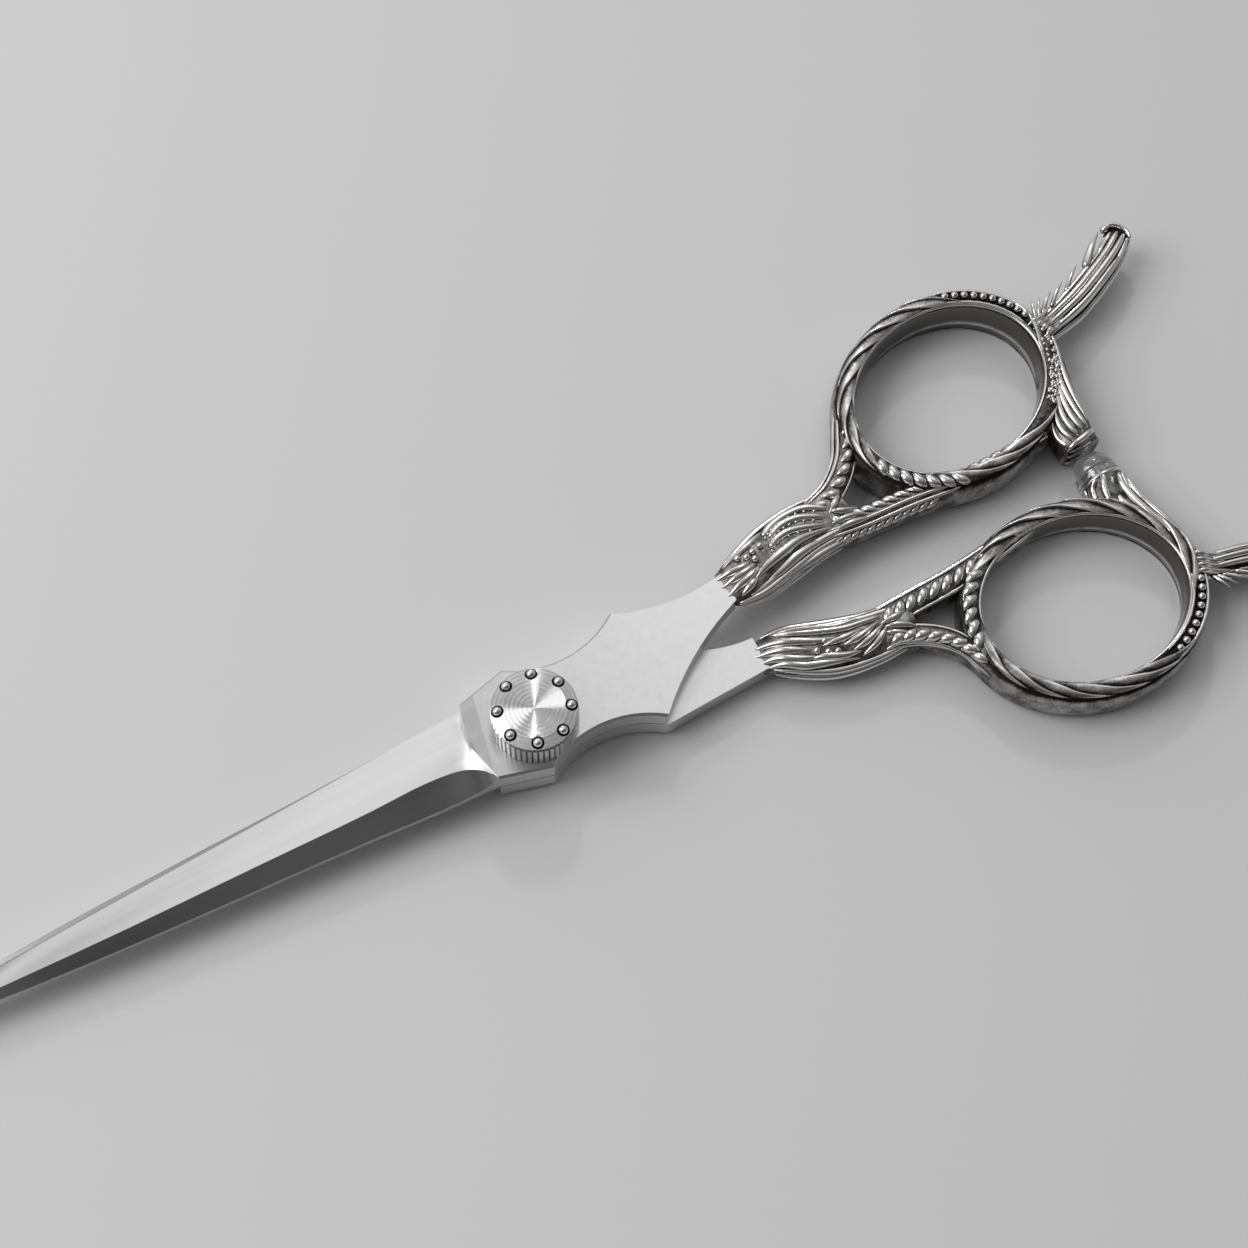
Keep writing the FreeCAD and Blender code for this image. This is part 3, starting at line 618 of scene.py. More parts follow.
@dataclass(frozen=True)
class Skin:
    """Limb whose upright oval section runs along a smooth line.

    A point at (t, angle) is the line's point at t plus half the width times the cosine sideways
    and half the height times the sine upwards, with both raised to a power that squares the
    oval.  Angle 0 is the left side, 90 the top.

    Attributes:
        stations: Rows of x, y, z, width and height.
        closed: Whether the line comes back to its start.
        squareness: 2 for an ellipse, more for a squarer section.
    """
    stations: tuple
    closed: bool = False
    squareness: float = 2.3

    def section(self, t: np.ndarray) -> tuple[np.ndarray, np.ndarray]:
        """Station and sideways direction at t, from the chord of two near places.

        Args:
            t: Places along the limb.

        Returns:
            Station rows, and level unit vectors to the left.
        """
        step = 1e-3
        ahead, behind = t + step, t - step
        if not self.closed:
            ahead, behind = np.minimum(ahead, 1.0), np.maximum(behind, 0.0)
        run = (spline(self.stations, ahead, self.closed)
               - spline(self.stations, behind, self.closed))
        side = np.stack([-run[..., 1], run[..., 0], np.zeros(run.shape[:-1])], axis=-1)
        return spline(self.stations, t, self.closed), unit(side)

    def point(self, t: np.ndarray, angle: np.ndarray, lift: float = 0.0) -> np.ndarray:
        """Points of the surface.

        Args:
            t: Places along the limb.
            angle: Degrees round the section.
            lift: Distance above the surface.

        Returns:
            Points, in the shape of t and angle.
        """
        t, angle = np.broadcast_arrays(np.asarray(t, dtype=float), np.asarray(angle, dtype=float))
        rows, side = self.section(t)
        c, s = np.cos(np.radians(angle)), np.sin(np.radians(angle))
        power = 2.0 / self.squareness
        across = (np.sign(c) * np.abs(c) ** power * rows[..., 3] / 2)[..., None] * side
        up = np.zeros(across.shape)
        up[..., 2] = np.sign(s) * np.abs(s) ** power * rows[..., 4] / 2
        return rows[..., :3] + across + up + self.normal(t, angle) * lift

    def normal(self, t: np.ndarray, angle: np.ndarray) -> np.ndarray:
        """Outward directions: cosine over the width sideways, sine over the height upwards.

        Args:
            t: Places along the limb.
            angle: Degrees round the section.

        Returns:
            Unit vectors, in the shape of t and angle.
        """
        rows, side = self.section(t)
        c, s = np.cos(np.radians(angle)), np.sin(np.radians(angle))
        out = side * (c / rows[..., 3])[..., None]
        out[..., 2] += s / rows[..., 4]
        return unit(out)

    def crown(self, places: np.ndarray, lift: float = 0.0) -> np.ndarray:
        """Points of the top surface over given places.

        The nearest of 400 stations gives the section; the height there follows the section's
        oval at the place's distance from the middle line.

        Args:
            places: Rows of x and y.
            lift: Distance above the surface.

        Returns:
            Rows of x, y and z.
        """
        rows = spline(self.stations, np.linspace(0.0, 1.0, 400), self.closed)
        gap = np.linalg.norm(places[:, None, :2] - rows[None, :, :2], axis=-1)
        row = rows[gap.argmin(axis=1)]
        share = np.minimum(2 * gap.min(axis=1) / row[:, 3], 0.95)
        top = (1 - share ** self.squareness) ** (1 / self.squareness)
        return np.column_stack([places[:, :2], row[:, 2] + row[:, 4] / 2 * top + lift])

    def patch(self, along: int = 90, around: int = 40, crest: float = 0.12,
              polished: tuple | None = None, relief: Wreath | None = None) -> Patch:
        """The limb's closed surface; with a relief, six points in ten lie on its dense arc.

        Args:
            along: Rings along the limb.
            around: Points round a ring.
            crest: Crest value of the surface.
            polished: First and last angle of a stretch that is smooth and painted dark as a
                reflection, in degrees.
            relief: Gives a lift in millimetres and a crest value at t and angle.

        Returns:
            The surface.
        """
        t = np.linspace(0.0, 1.0, along, endpoint=not self.closed)[:, None]
        angle = (np.arange(around) * 360.0 / around)[None, :]
        if relief is not None:
            first, last = relief.dense
            many = int(0.6 * around)
            few = around - many
            angle = np.concatenate([first + (last - first) * np.arange(many) / many,
                                    last + (first + 360.0 - last) * np.arange(few) / few])[None, :]
        t, angle = np.broadcast_arrays(t, angle)
        points = self.point(t, angle)
        values = np.full(t.shape, crest)
        if relief is not None:
            lift, values = relief.shape(t, angle)
            points = points + self.normal(t, angle) * lift[..., None]
        # Mask of the smooth stretch, which the casting also paints dark as a reflection.
        gloss_and_dark_reflection = np.zeros(t.shape)
        if polished is not None:
            turned = (angle - polished[0]) % 360.0
            width = polished[1] - polished[0]
            gloss_and_dark_reflection = smooth_step(turned, 0.0, 10.0) * (1 - smooth_step(turned, width - 10.0, width))
        return tube_patch(points, values, self.closed, gloss_and_dark_reflection)


@dataclass(frozen=True)
class Wreath:
    """Oblique leaves laid like shingles round a hoop, beside a channel that holds beads.

    With v from 0 at the lip to 1 at the outer groove, a leaf's seam runs from t to t plus span
    times v to the power 1.15.  Over each leaf the surface rises as the square root of the share
    since its seam and drops in the last eighth.  The outer groove and the rib round the hole's
    wall are bells, and the wall between the lips is hollow as a parabola.  The crest value gives
    patina with painted shade in the groove and the bead channel, and wear with painted highlights
    on the leaves' tops and edges, the outer flank and the rib.  Angles are degrees round the
    section, heights and depths are millimetres.

    Attributes:
        channel: First and last t of the bead channel.
        bare: First and last t of each stretch without leaves.
        count: Leaves round the hoop.
        span: How far a seam advances across the top, as a share of the hoop.
        depth: Rise of a leaf.
        lip: Angle of the lip round the hole.
        top: Angle from the lip to the outer groove.
        groove: Angle, half width and depth of the outer groove.
        trough: Depth of the bead channel.
        hollow: Angle, half width and depth of the hollow in the wall.
        rib: Angle, half width and height of the rib on the wall, which is also painted light as a
            highlight.
        dense: Angles between which the surface's points lie closer.
    """
    channel: tuple
    bare: tuple
    count: int = 19
    span: float = 0.105
    depth: float = 0.36
    lip: float = 60.0
    top: float = 62.0
    groove: tuple = (128.0, 7.0, 0.16)
    trough: float = 0.22
    hollow: tuple = (-10.0, 50.0, 0.16)
    rib: tuple = (-12.0, 8.0, 0.1)
    dense: tuple = (50.0, 146.0)

    @staticmethod
    def between(t: np.ndarray, span: tuple, soft: float = 0.006) -> np.ndarray:
        """One inside a span of t that may pass the start, nought outside, with soft ends.

        Args:
            t: Places round the hoop.
            span: First and last place.
            soft: Length of each soft end.

        Returns:
            Shares from 0 to 1.
        """
        turned = (t - span[0]) % 1.0
        width = (span[1] - span[0]) % 1.0
        return smooth_step(turned, 0.0, soft) * (1 - smooth_step(turned, width - soft, width))

    @staticmethod
    def bell(angle: np.ndarray, middle: float, half_width: float) -> np.ndarray:
        """Bell curve over angles: e to the power of less the squared distance in half widths."""
        return np.exp(-((angle - middle) / half_width) ** 2)

    def shape(self, t: np.ndarray, angle: np.ndarray) -> tuple[np.ndarray, np.ndarray]:
        """Relief of the hoop.

        Args:
            t: Places round the hoop.
            angle: Degrees round the section.

        Returns:
            Lift in millimetres, and crest value.
        """
        v = (angle - self.lip) / self.top
        across = np.clip(v, 0.0, 1.0) ** 1.15
        share = (self.count * (t - self.span * across)) % 1.0
        leaf = np.sqrt(share) * (1 - smooth_step(share, 0.87, 1.0))
        edge = smooth_step(share, 0.7, 0.85) * (1 - smooth_step(share, 0.87, 0.95))
        slanted = t - self.span * (across - 0.47)
        leafy = smooth_step(v, -0.05, 0.06) * (1 - smooth_step(v, 0.9, 1.06))
        for span in (self.channel, *self.bare):
            leafy = leafy * (1 - self.between(slanted, span))
        trough = (self.between(slanted, self.channel, 0.02) * smooth_step(angle, 68.0, 78.0)
                  * (1 - smooth_step(angle, 106.0, 116.0)))
        groove = self.bell(angle, *self.groove[:2])
        wall = (angle + 180.0) % 360.0 - 180.0
        rib = self.bell(wall, *self.rib[:2])
        hollow = (1 - ((wall - self.hollow[0]) / self.hollow[1]) ** 2).clip(0.0, 1.0)
        flank = smooth_step(angle, 134.0, 150.0) * (1 - smooth_step(angle, 190.0, 230.0))
        lift = (self.depth * leaf * leafy - self.groove[2] * groove - self.trough * trough
                - self.hollow[2] * hollow + self.rib[2] * rib)
        # Crest: patina with painted shade in the groove and trough, wear with painted highlights on
        # leaf tops, leaf edges, the outer flank and the rib.
        crest = (0.3 + leafy * (0.75 * leaf - 0.28 + 0.3 * edge) + 0.2 * flank - 0.3 * groove
                 - 0.3 * trough + 0.6 * rib)
        return lift, crest


class Tip(Enum):
    """How a strand's thickness changes along it."""
    LEAF = "leaf"
    TAIL = "tail"
    BLUNT = "blunt"


def fullness(tip: Tip, u: np.ndarray) -> np.ndarray:
    """Share of the full thickness at u.

    A leaf is the sine of half a turn to the power 0.7; a tail is full at the start and thins as
    one less u squared; a blunt strand is full but for its rounded ends.

    Args:
        tip: Kind of strand.
        u: Places along it, from 0 to 1.

    Returns:
        Shares from 0 to 1.
    """
    ends = np.sqrt(np.clip(1 - (2 * u - 1) ** 12, 0.0, 1.0))
    shapes = {Tip.LEAF: np.sin(np.pi * u) ** 0.7, Tip.TAIL: (1 - 0.9 * u ** 2) * ends,
              Tip.BLUNT: (0.75 + 0.25 * np.sin(np.pi * u)) * ends}
    return np.maximum(shapes[tip], 0.02)


def sweep_patch(path: np.ndarray, out: np.ndarray, half_width: np.ndarray, height: np.ndarray,
                around: int = 10, keel: float = 0.0, closed: bool = False) -> Patch:
    """Strand along a path: ovals across it, half width sideways and height outwards.

    A keel pinches the top to a ridge: the rise is the sine of the angle round the oval, times
    one plus the keel times that sine to the sixth power on the upper half.

    Args:
        path: Points of its middle line.
        out: Outward direction at each point.
        half_width: Half width at each point.
        height: Height above and below the path at each point.
        around: Points round a ring.
        keel: Share by which the crest is raised over an oval.
        closed: Whether the path comes back to its start.

    Returns:
        The strand's surface.
    """
    run = np.gradient(path, axis=0)
    if closed:
        run = np.roll(path, -1, axis=0) - np.roll(path, 1, axis=0)
    across = unit(np.cross(out, run))
    theta = (2 * np.pi * np.arange(around) / around)[None, :]
    rise = np.sin(theta) * (1 + keel * np.maximum(np.sin(theta), 0.0) ** 6)
    rings = (path[:, None, :]
             + across[:, None, :] * (half_width[:, None] * np.cos(theta))[..., None]
             + unit(out)[:, None, :] * (height[:, None] * rise)[..., None])
    # Crest value high on the outward side and low underneath: painted highlight on top, painted shade
    # below.
    crest = np.broadcast_to(0.1 + 0.9 * smooth_step(np.sin(theta), -0.2, 0.8), rings.shape[:2])
    return tube_patch(rings[:, ::-1], crest[:, ::-1], closed)


def strand(skin: Skin, marks: tuple, width: float, height: float, tip: Tip = Tip.LEAF,
           count: int = 28, keel: float = 0.0) -> Patch:
    """Strand that lies on a skin.

    Args:
        skin: What it lies on.
        marks: (t, angle) places that it passes.
        width: Its full width.
        height: How far it stands out.
        tip: How it thins.
        count: Rings along it.
        keel: Sharpness of its ridge.

    Returns:
        The strand's surface.
    """
    u = np.linspace(0.0, 1.0, count)
    place = spline(marks, u)
    path = skin.point(place[:, 0], place[:, 1])
    out = skin.normal(place[:, 0], place[:, 1])
    full = fullness(tip, u)
    return sweep_patch(path, out, 0.5 * width * full, height * full, keel=keel)


def free_strand(knots: tuple, width: float, height: float, tip: Tip = Tip.LEAF,
                count: int = 24, out: tuple = (0.0, 0.0, 1.0), keel: float = 0.0) -> Patch:
    """Strand along its own line of (x, y, z) knots.

    Args:
        knots: Points that it passes.
        width: Its full width.
        height: How far it stands out on each side of the line.
        tip: How it thins.
        count: Rings along it.
        out: Direction of its crest.
        keel: Sharpness of its ridge.

    Returns:
        The strand's surface.
    """
    u = np.linspace(0.0, 1.0, count)
    path = spline(knots, u)
    full = fullness(tip, u)
    return sweep_patch(path, np.broadcast_to(np.array(out, dtype=float), path.shape),
                       0.5 * width * full, height * full, keel=keel)


def laid_strand(skin: Skin, places: tuple, width: float, height: float, tip: Tip = Tip.BLUNT,
                lift: float = 0.0, count: int = 34, keel: float = 0.0) -> Patch:
    """Strand over the top of a skin, along (x, y) places.

    Args:
        skin: What it lies on.
        places: Points that it passes over.
        width: Its full width.
        height: How far it stands out.
        tip: How it thins.
        lift: Height of its middle line over the skin.
        count: Rings along it.
        keel: Sharpness of its ridge.

    Returns:
        The strand's surface.
    """
    u = np.linspace(0.0, 1.0, count)
    path = skin.crown(spline(places, u), lift)
    full = fullness(tip, u)
    return sweep_patch(path, np.broadcast_to(np.array([0.0, 0.0, 1.0]), path.shape),
                       0.5 * width * full, height * full, keel=keel)


def lumps(skin: Skin, span: tuple, angle: float, count: int, width: float = 1.15,
          height: float = 0.42, reach: float = 1.3, lean: float = 24.0) -> list[Patch]:
    """Row of oblique lumps that read as the lay of a rope.

    Args:
        skin: What they lie on.
        span: First and last place along the skin.
        angle: Middle of the row round the section, in degrees.
        count: Lumps in the row.
        width: Full width of a lump.
        height: How far it stands out.
        reach: Length of a lump over the spacing.
        lean: Degrees round the section that it crosses on each side.

    Returns:
        One patch per lump.
    """
    pitch = (span[1] - span[0]) / count
    middles = span[0] + pitch * (np.arange(count) + 0.5)
    half = 0.5 * pitch * reach
    return [strand(skin, ((m - half, angle - lean), (m, angle), (m + half, angle + lean)),
                   width, height, count=14, keel=0.1) for m in middles]


def balls(centres: np.ndarray, radius: float | np.ndarray) -> list[Patch]:
    """Small balls from sines and cosines.

    Args:
        centres: Their middles.
        radius: Their radius, or one for each.

    Returns:
        One patch per ball.
    """
    sizes = np.broadcast_to(radius, len(centres))
    rows = np.linspace(0.12, np.pi - 0.12, 7)[:, None]
    around = (2 * np.pi * np.arange(10) / 10)[None, :]
    ball = np.stack([np.sin(rows) * np.cos(around), np.sin(rows) * np.sin(around),
                     -np.cos(rows) + 0.0 * around], axis=-1)
    # Crest value rises with height on the ball: painted highlight on its top, painted shade under it.
    values = 0.35 + 0.65 * smooth_step(ball[..., 2], -0.2, 0.7)
    return [tube_patch(centre + size * ball, values) for centre, size in zip(centres, sizes)]


def beads(skin: Skin, span: tuple, angle: float, radius: float, count: int) -> list[Patch]:
    """Row of round beads half sunk in a skin.

    Args:
        skin: What they sit in.
        span: Places of the first and last bead along the skin.
        angle: Degrees round the section.
        radius: Radius of a bead.
        count: Beads in the row.

    Returns:
        One patch per bead.
    """
    places = np.linspace(span[0], span[1], count)
    return balls(skin.point(places, np.full(count, angle), 0.1 * radius), radius)


def grains(skin: Skin, span: tuple, angles: tuple, radius: float, count: int) -> list[Patch]:
    """Grains of uneven size strewn over part of a skin, from a fixed random seed.

    Args:
        skin: What they sit in.
        span: First and last place along the skin.
        angles: First and last angle.
        radius: Radius of a grain.
        count: Grains.

    Returns:
        One patch per grain.
    """
    strewn = np.random.default_rng(7).random((count, 3))
    places = span[0] + (span[1] - span[0]) * strewn[:, 0]
    across = angles[0] + (angles[1] - angles[0]) * strewn[:, 1]
    return balls(skin.point(places, across, 0.0), radius * (0.6 + 0.8 * strewn[:, 2]))


# ---- cast handles ----------------------------------------------------------------------------

@dataclass(frozen=True)
class Hoop:
    """Oval finger ring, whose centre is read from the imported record.

    Attributes:
        opening: Name of the opening in the record.
        long: Half the hole's length in millimetres.
        short: Half the hole's width.
        turn: Degrees from the X axis to the hole's length.
        height: Height of the ring.
        width: Width of its wall.
        bulge: How far the wall reaches into the hole's oval before its hollow is cut.
        marks: Stations round it.
    """
    opening: str
    long: float
    short: float
    turn: float
    height: float
    width: float = 2.75
    bulge: float = 0.3
    marks: int = 24

    def centre(self) -> np.ndarray:
        """Middle of the finger hole.

        Returns:
            x and y in millimetres, from the stated opening.
        """
        boxes = {o["name"]: o["box_m"] for o in frame["record"]["physics"]["openings"]}
        low, high = (np.array(corner) for corner in boxes[self.opening])
        return (low + high)[:2] / 2 / MM

    def skin(self) -> Skin:
        """The hoop as a closed skin: an ellipse moved outwards by half the wall.

        Returns:
            The skin.
        """
        a = 2 * np.pi * np.arange(self.marks) / self.marks
        u, v = self.long * np.cos(a), self.short * np.sin(a)
        nu, nv = self.short * np.cos(a), self.long * np.sin(a)
        length = np.hypot(nu, nv)
        out = self.width / 2 - self.bulge
        u, v = u + out * nu / length, v + out * nv / length
        turn = math.radians(self.turn)
        x = u * math.cos(turn) - v * math.sin(turn)
        y = u * math.sin(turn) + v * math.cos(turn)
        cx, cy = self.centre()
        even = np.ones(self.marks)
        rows = np.stack([x + cx, y + cy, even * self.height / 2, even * self.width,
                         even * self.height], axis=-1)
        return Skin(tuple(map(tuple, rows)), closed=True, squareness=2.6)


@dataclass
class CastHandle:
    """A cast handle: hoop, neck, two struts and the ornament laid over them.

    Attributes:
        name: Name of the sculpted piece.
        node: Solid that it stands for.
        body: Half that it moves with.
        hoop: The finger ring.
        wreath: Relief of the ring.
        bead_span: First and last place of the beads round the ring.
        bead_count: Beads in the channel.
        neck: Limb from the blade's shank to the fork.
        outer_strut: Limb on the outer side of the window.
        inner_strut: Limb on the inner side.
        mirrored: Whether its outer side lies towards less y.
        patches: Surfaces made so far.
    """
    name: str
    node: str
    body: str
    hoop: Hoop
    wreath: Wreath
    bead_span: tuple
    bead_count: int
    neck: Skin
    outer_strut: Skin
    inner_strut: Skin
    mirrored: bool
    patches: list = field(default_factory=list)

    def angle(self, degrees: float) -> float:
        """Angle round a limb, counted from the outer side of the handle on both handles."""
        return 180.0 - degrees if self.mirrored else degrees

    def laid(self, skin: Skin, lines: tuple, width: float, height: float, tip: Tip = Tip.BLUNT,
             lift: float = 0.0, keel: float = 0.0) -> None:
        """Lay several strands of one kind over a skin.

        Args:
            skin: What they lie on.
            lines: One row of (x, y) places for each strand.
            width: Full width of a strand.
            height: How far it stands out.
            tip: How it thins.
            lift: Height of its middle line over the skin.
            keel: Sharpness of its ridge.
        """
        self.patches += [laid_strand(skin, line, width, height, tip, lift, keel=keel)
                         for line in lines]

    def ring(self) -> None:
        """Hoop with a polished hole painted dark as a reflection, shingled leaves, thin lips, and
        beads in a channel.
        """
        skin = self.hoop.skin()
        # The hole's wall is smooth and painted dark as a reflection.
        self.patches.append(skin.patch(along=560, around=72, crest=0.3,
                                       polished=(-100.0, 58.0), relief=self.wreath))
        count = 200
        u = np.linspace(0.0, 1.0, count, endpoint=False)
        for angle, radius in ((56.0, 0.2), (-62.0, 0.18)):
            path, out = skin.point(u, np.full(count, angle)), skin.normal(u, np.full(count, angle))
            even = np.full(count, radius)
            self.patches.append(sweep_patch(path, out, even, even, around=8, closed=True))
        self.patches += beads(skin, self.bead_span, angle=92.0, radius=0.46,
                              count=self.bead_count)
        first, last = self.bead_span[0] - 0.013, self.bead_span[1] + 0.013
        for angle in (67.0, 117.0):
            line = tuple((first + (last - first) * k / 6, angle) for k in range(7))
            self.patches.append(strand(skin, line, 0.42, 0.3, Tip.BLUNT, count=60))

    def strut(self, skin: Skin, rope_angle: float, count: int, borders: tuple) -> None:
        """Strut with the lay of a rope between smooth borders.

        Args:
            skin: The strut's limb.
            rope_angle: Angle of the rope, from the outer side.
            count: Lumps of the rope.
            borders: Angles of the borders, from the outer side.
        """
        self.patches.append(skin.patch(along=70, around=32, crest=0.42))
        lean = -26.0 if self.mirrored else 26.0
        self.patches += lumps(skin, (0.04, 0.92), self.angle(rope_angle), count, lean=lean)
        for angle in borders:
            side = tuple((k, self.angle(angle)) for k in (0.0, 0.25, 0.5, 0.75, 1.0))
            self.patches.append(strand(skin, side, 0.5, 0.3, Tip.BLUNT, count=60))

    def neck_sides(self) -> None:
        """Strands along both flanks of the neck."""
        flow = (((0.99, 122), (0.80, 128), (0.60, 130), (0.40, 134), (0.20, 144)),
                ((0.98, 140), (0.72, 146), (0.46, 149), (0.22, 156), (0.06, 160)),
                ((0.95, 162), (0.70, 166), (0.45, 168), (0.20, 172), (0.04, 175)),
                ((0.90, 188), (0.60, 190), (0.30, 192), (0.05, 194)),
                ((0.92, 30), (0.66, 22), (0.40, 24), (0.14, 34)),
                ((0.90, 8), (0.65, 2), (0.40, 2), (0.16, 8)))
        self.patches.append(self.neck.patch(along=80, around=44, crest=0.42))
        for marks in flow:
            turned = tuple((t, self.angle(a)) for t, a in marks)
            self.patches.append(strand(self.neck, turned, 0.9, 0.4, count=40, keel=0.3))

    def carve(self) -> None:
        """Make every limb and all its ornament; each handle has its own."""
        raise NotImplementedError

    def assemble(self, material: bpy.types.Material) -> bpy.types.Object:
        """Carve everything, join it and let it stand for the solid casting.

        Args:
            material: Finish of the casting.

        Returns:
            The sculpted handle.
        """
        self.carve()
        piece = build_object(self.name, self.patches, material)
        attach(piece, self.body)
        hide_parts(self.node)
        return piece


@dataclass
class FingerCasting(CastHandle):
    """The upper casting, on the finger side, with the boss that the bumper meets."""
    middle: ClassVar[float] = FINGER_RING_HEIGHT / 2
    name: str = "finger_handle_casting"
    node: str = "finger_handle"
    body: str = "finger_half"
    hoop: Hoop = Hoop("finger_hole", long=12.3, short=9.65, turn=18.5, height=FINGER_RING_HEIGHT)
    wreath: Wreath = Wreath(channel=(0.985, 0.147), bare=((0.505, 0.65), (0.79, 0.96)))
    bead_span: tuple = (-0.001, 0.134)
    bead_count: int = 10
    neck: Skin = Skin(((25.3, 4.4, 4.9, 4.2, 1.6), (26.6, 4.5, 4.7, 5.2, 2.6),
                       (28.8, 4.9, 4.3, 6.0, 3.7), (32.5, 6.0, 3.9, 6.6, 4.3),
                       (36.5, 6.9, 3.5, 6.6, 4.6), (40.5, 7.1, 3.2, 6.2, 4.6),
                       (42.4, 7.3, 3.1, 4.6, 4.3)))
    outer_strut: Skin = Skin(((38.5, 8.4, 3.3, 3.2, 4.2), (42.0, 9.9, 3.1, 2.9, 4.2),
                              (45.0, 12.5, 3.0, 2.8, 4.3), (47.2, 16.1, middle, 2.6, 4.3),
                              (49.3, 20.0, middle, 1.8, 3.8)))
    inner_strut: Skin = Skin(((38.5, 5.6, 3.3, 3.6, 4.3), (43.5, 5.1, 3.0, 3.2, 4.4),
                              (49.0, 4.9, middle, 3.1, 4.6), (55.0, 4.3, middle, 2.6, 4.6),
                              (61.0, 4.4, middle, 2.3, 4.6), (67.0, 5.2, middle, 2.4, 4.4)))
    mirrored: bool = False

    def carve(self) -> None:
        """Ring with a rope over the fork, struts, neck and stop boss."""
        self.ring()
        self.patches += lumps(self.hoop.skin(), (0.508, 0.65), 96.0, count=7,
                              width=1.2, height=0.45)
        self.strut(self.outer_strut, rope_angle=108.0, count=8, borders=(34.0, 62.0, 150.0))
        self.strut(self.inner_strut, rope_angle=62.0, count=17, borders=(98.0, 122.0))
        self.patches += lumps(self.inner_strut, (0.02, 0.5), 146.0, count=12,
                              width=0.7, height=0.3, lean=-14.0)
        self.neck_sides()
        self.carve_neck()
        self.carve_stop()

    def carve_neck(self) -> None:
        """Nested arcs over the mound, long strands beside them, and feather tips over the plate."""
        arcs = (((40.1, 7.6), (37.6, 9.0), (35.2, 9.1), (33.2, 8.6), (31.8, 7.8)),
                ((39.2, 6.9), (36.4, 8.1), (34.1, 8.1), (32.3, 7.3)),
                ((38.6, 6.1), (35.1, 7.0), (33.0, 6.8), (31.7, 6.1)))
        flows = (((39.6, 5.5), (35.6, 5.7), (32.7, 5.1), (30.3, 4.4), (28.4, 3.6)),
                 ((41.0, 4.8), (36.8, 4.6), (33.9, 4.1), (31.4, 3.3), (29.6, 2.9)),
                 ((43.1, 3.9), (38.5, 3.8), (34.8, 3.2), (31.7, 2.5)))
        tips = (((24.6, 5.6), (26.2, 5.6), (28.0, 5.5), (29.2, 5.9)),
                ((24.9, 4.5), (26.6, 4.7), (28.2, 4.9), (29.6, 5.4)),
                ((24.9, 3.3), (26.6, 3.8), (28.2, 4.2), (29.8, 4.9)),
                ((26.3, 2.7), (27.6, 3.2), (29.0, 3.8)),
                ((26.2, 6.6), (28.2, 7.2), (30.2, 7.8), (32.3, 8.6)))
        fork = (((40.0, 7.3), (41.5, 6.7), (43.2, 6.5)), ((39.8, 7.0), (41.4, 8.2), (43.0, 9.4)),
                ((39.4, 5.9), (41.4, 5.9), (43.6, 5.6)), ((39.4, 5.0), (41.6, 5.0), (44.0, 4.7)))
        self.laid(self.neck, fork[:2], 0.9, 0.42, Tip.LEAF, keel=0.3)
        self.laid(self.inner_strut, fork[2:], 0.9, 0.42, Tip.LEAF, keel=0.3)
        self.laid(self.neck, arcs, 1.0, 0.45, keel=0.2)
        self.laid(self.neck, flows, 1.3, 0.55, Tip.LEAF, keel=0.35)
        self.laid(self.neck, tips, 1.0, 0.45, Tip.LEAF, lift=-0.05, keel=0.35)
        knobs = np.array([(28.0, 6.7), (28.9, 6.3), (29.8, 6.6), (30.9, 6.9), (29.6, 5.7)])
        self.patches += balls(self.neck.crown(knobs, 0.15), 0.42)
        for k, row in enumerate(arcs):
            dots = spline(row, np.linspace(0.15, 0.95, 9 - k)) + np.array([-0.1, -0.45])
            self.patches += balls(self.neck.crown(dots, 0.0), 0.2)

    def carve_stop(self) -> None:
        """Boss that leaves the ring and flares to the stop, folded like a leaf, with a front lip."""
        boss = Skin(((74.0, 17.0, 2.85, 2.2, 4.8), (73.4, 13.5, 2.85, 2.9, 4.9),
                     (72.0, 9.8, 2.85, 3.7, 4.9), (70.8, 6.6, 2.8, 4.4, 4.9),
                     (70.3, 3.9, 2.75, 4.7, 4.8), (70.2, 1.9, 2.7, 4.7, 4.6)), squareness=3.0)
        folds = (((74.8, 16.4), (74.2, 14.0), (73.2, 11.2), (72.4, 7.6), (72.3, 3.4)),
                 ((74.1, 15.9), (72.9, 12.4), (71.9, 9.2), (71.5, 6.4), (71.6, 3.2)),
                 ((73.4, 14.2), (71.9, 10.6), (71.0, 7.8), (70.6, 5.4), (70.8, 3.0)),
                 ((72.4, 12.0), (70.8, 8.8), (69.9, 6.4), (69.7, 4.6), (70.0, 2.8)),
                 ((71.4, 10.2), (69.8, 7.8), (69.0, 5.8), (68.8, 4.2), (69.2, 2.5)),
                 ((70.2, 8.4), (68.9, 6.6), (68.3, 5.0), (68.1, 3.6), (68.4, 2.3)))
        self.patches.append(boss.patch(along=60, around=40, crest=0.42))
        self.laid(boss, folds, 0.72, 0.36, keel=0.35)
        self.laid(boss, (((72.5, 3.0), (70.4, 2.4), (68.1, 2.0)),), 0.8, 0.5, lift=-0.05)
        for z in (1.6, 3.0, 4.2):
            fold = ((72.2, 2.3, z), (70.3, 1.85, z), (68.4, 1.8, z))
            self.patches.append(free_strand(fold, 0.6, 0.25, Tip.BLUNT, out=(0.0, -1.0, 0.0)))
        self.patches += grains(self.hoop.skin(), (0.83, 0.955), (76.0, 112.0), radius=0.2, count=90)


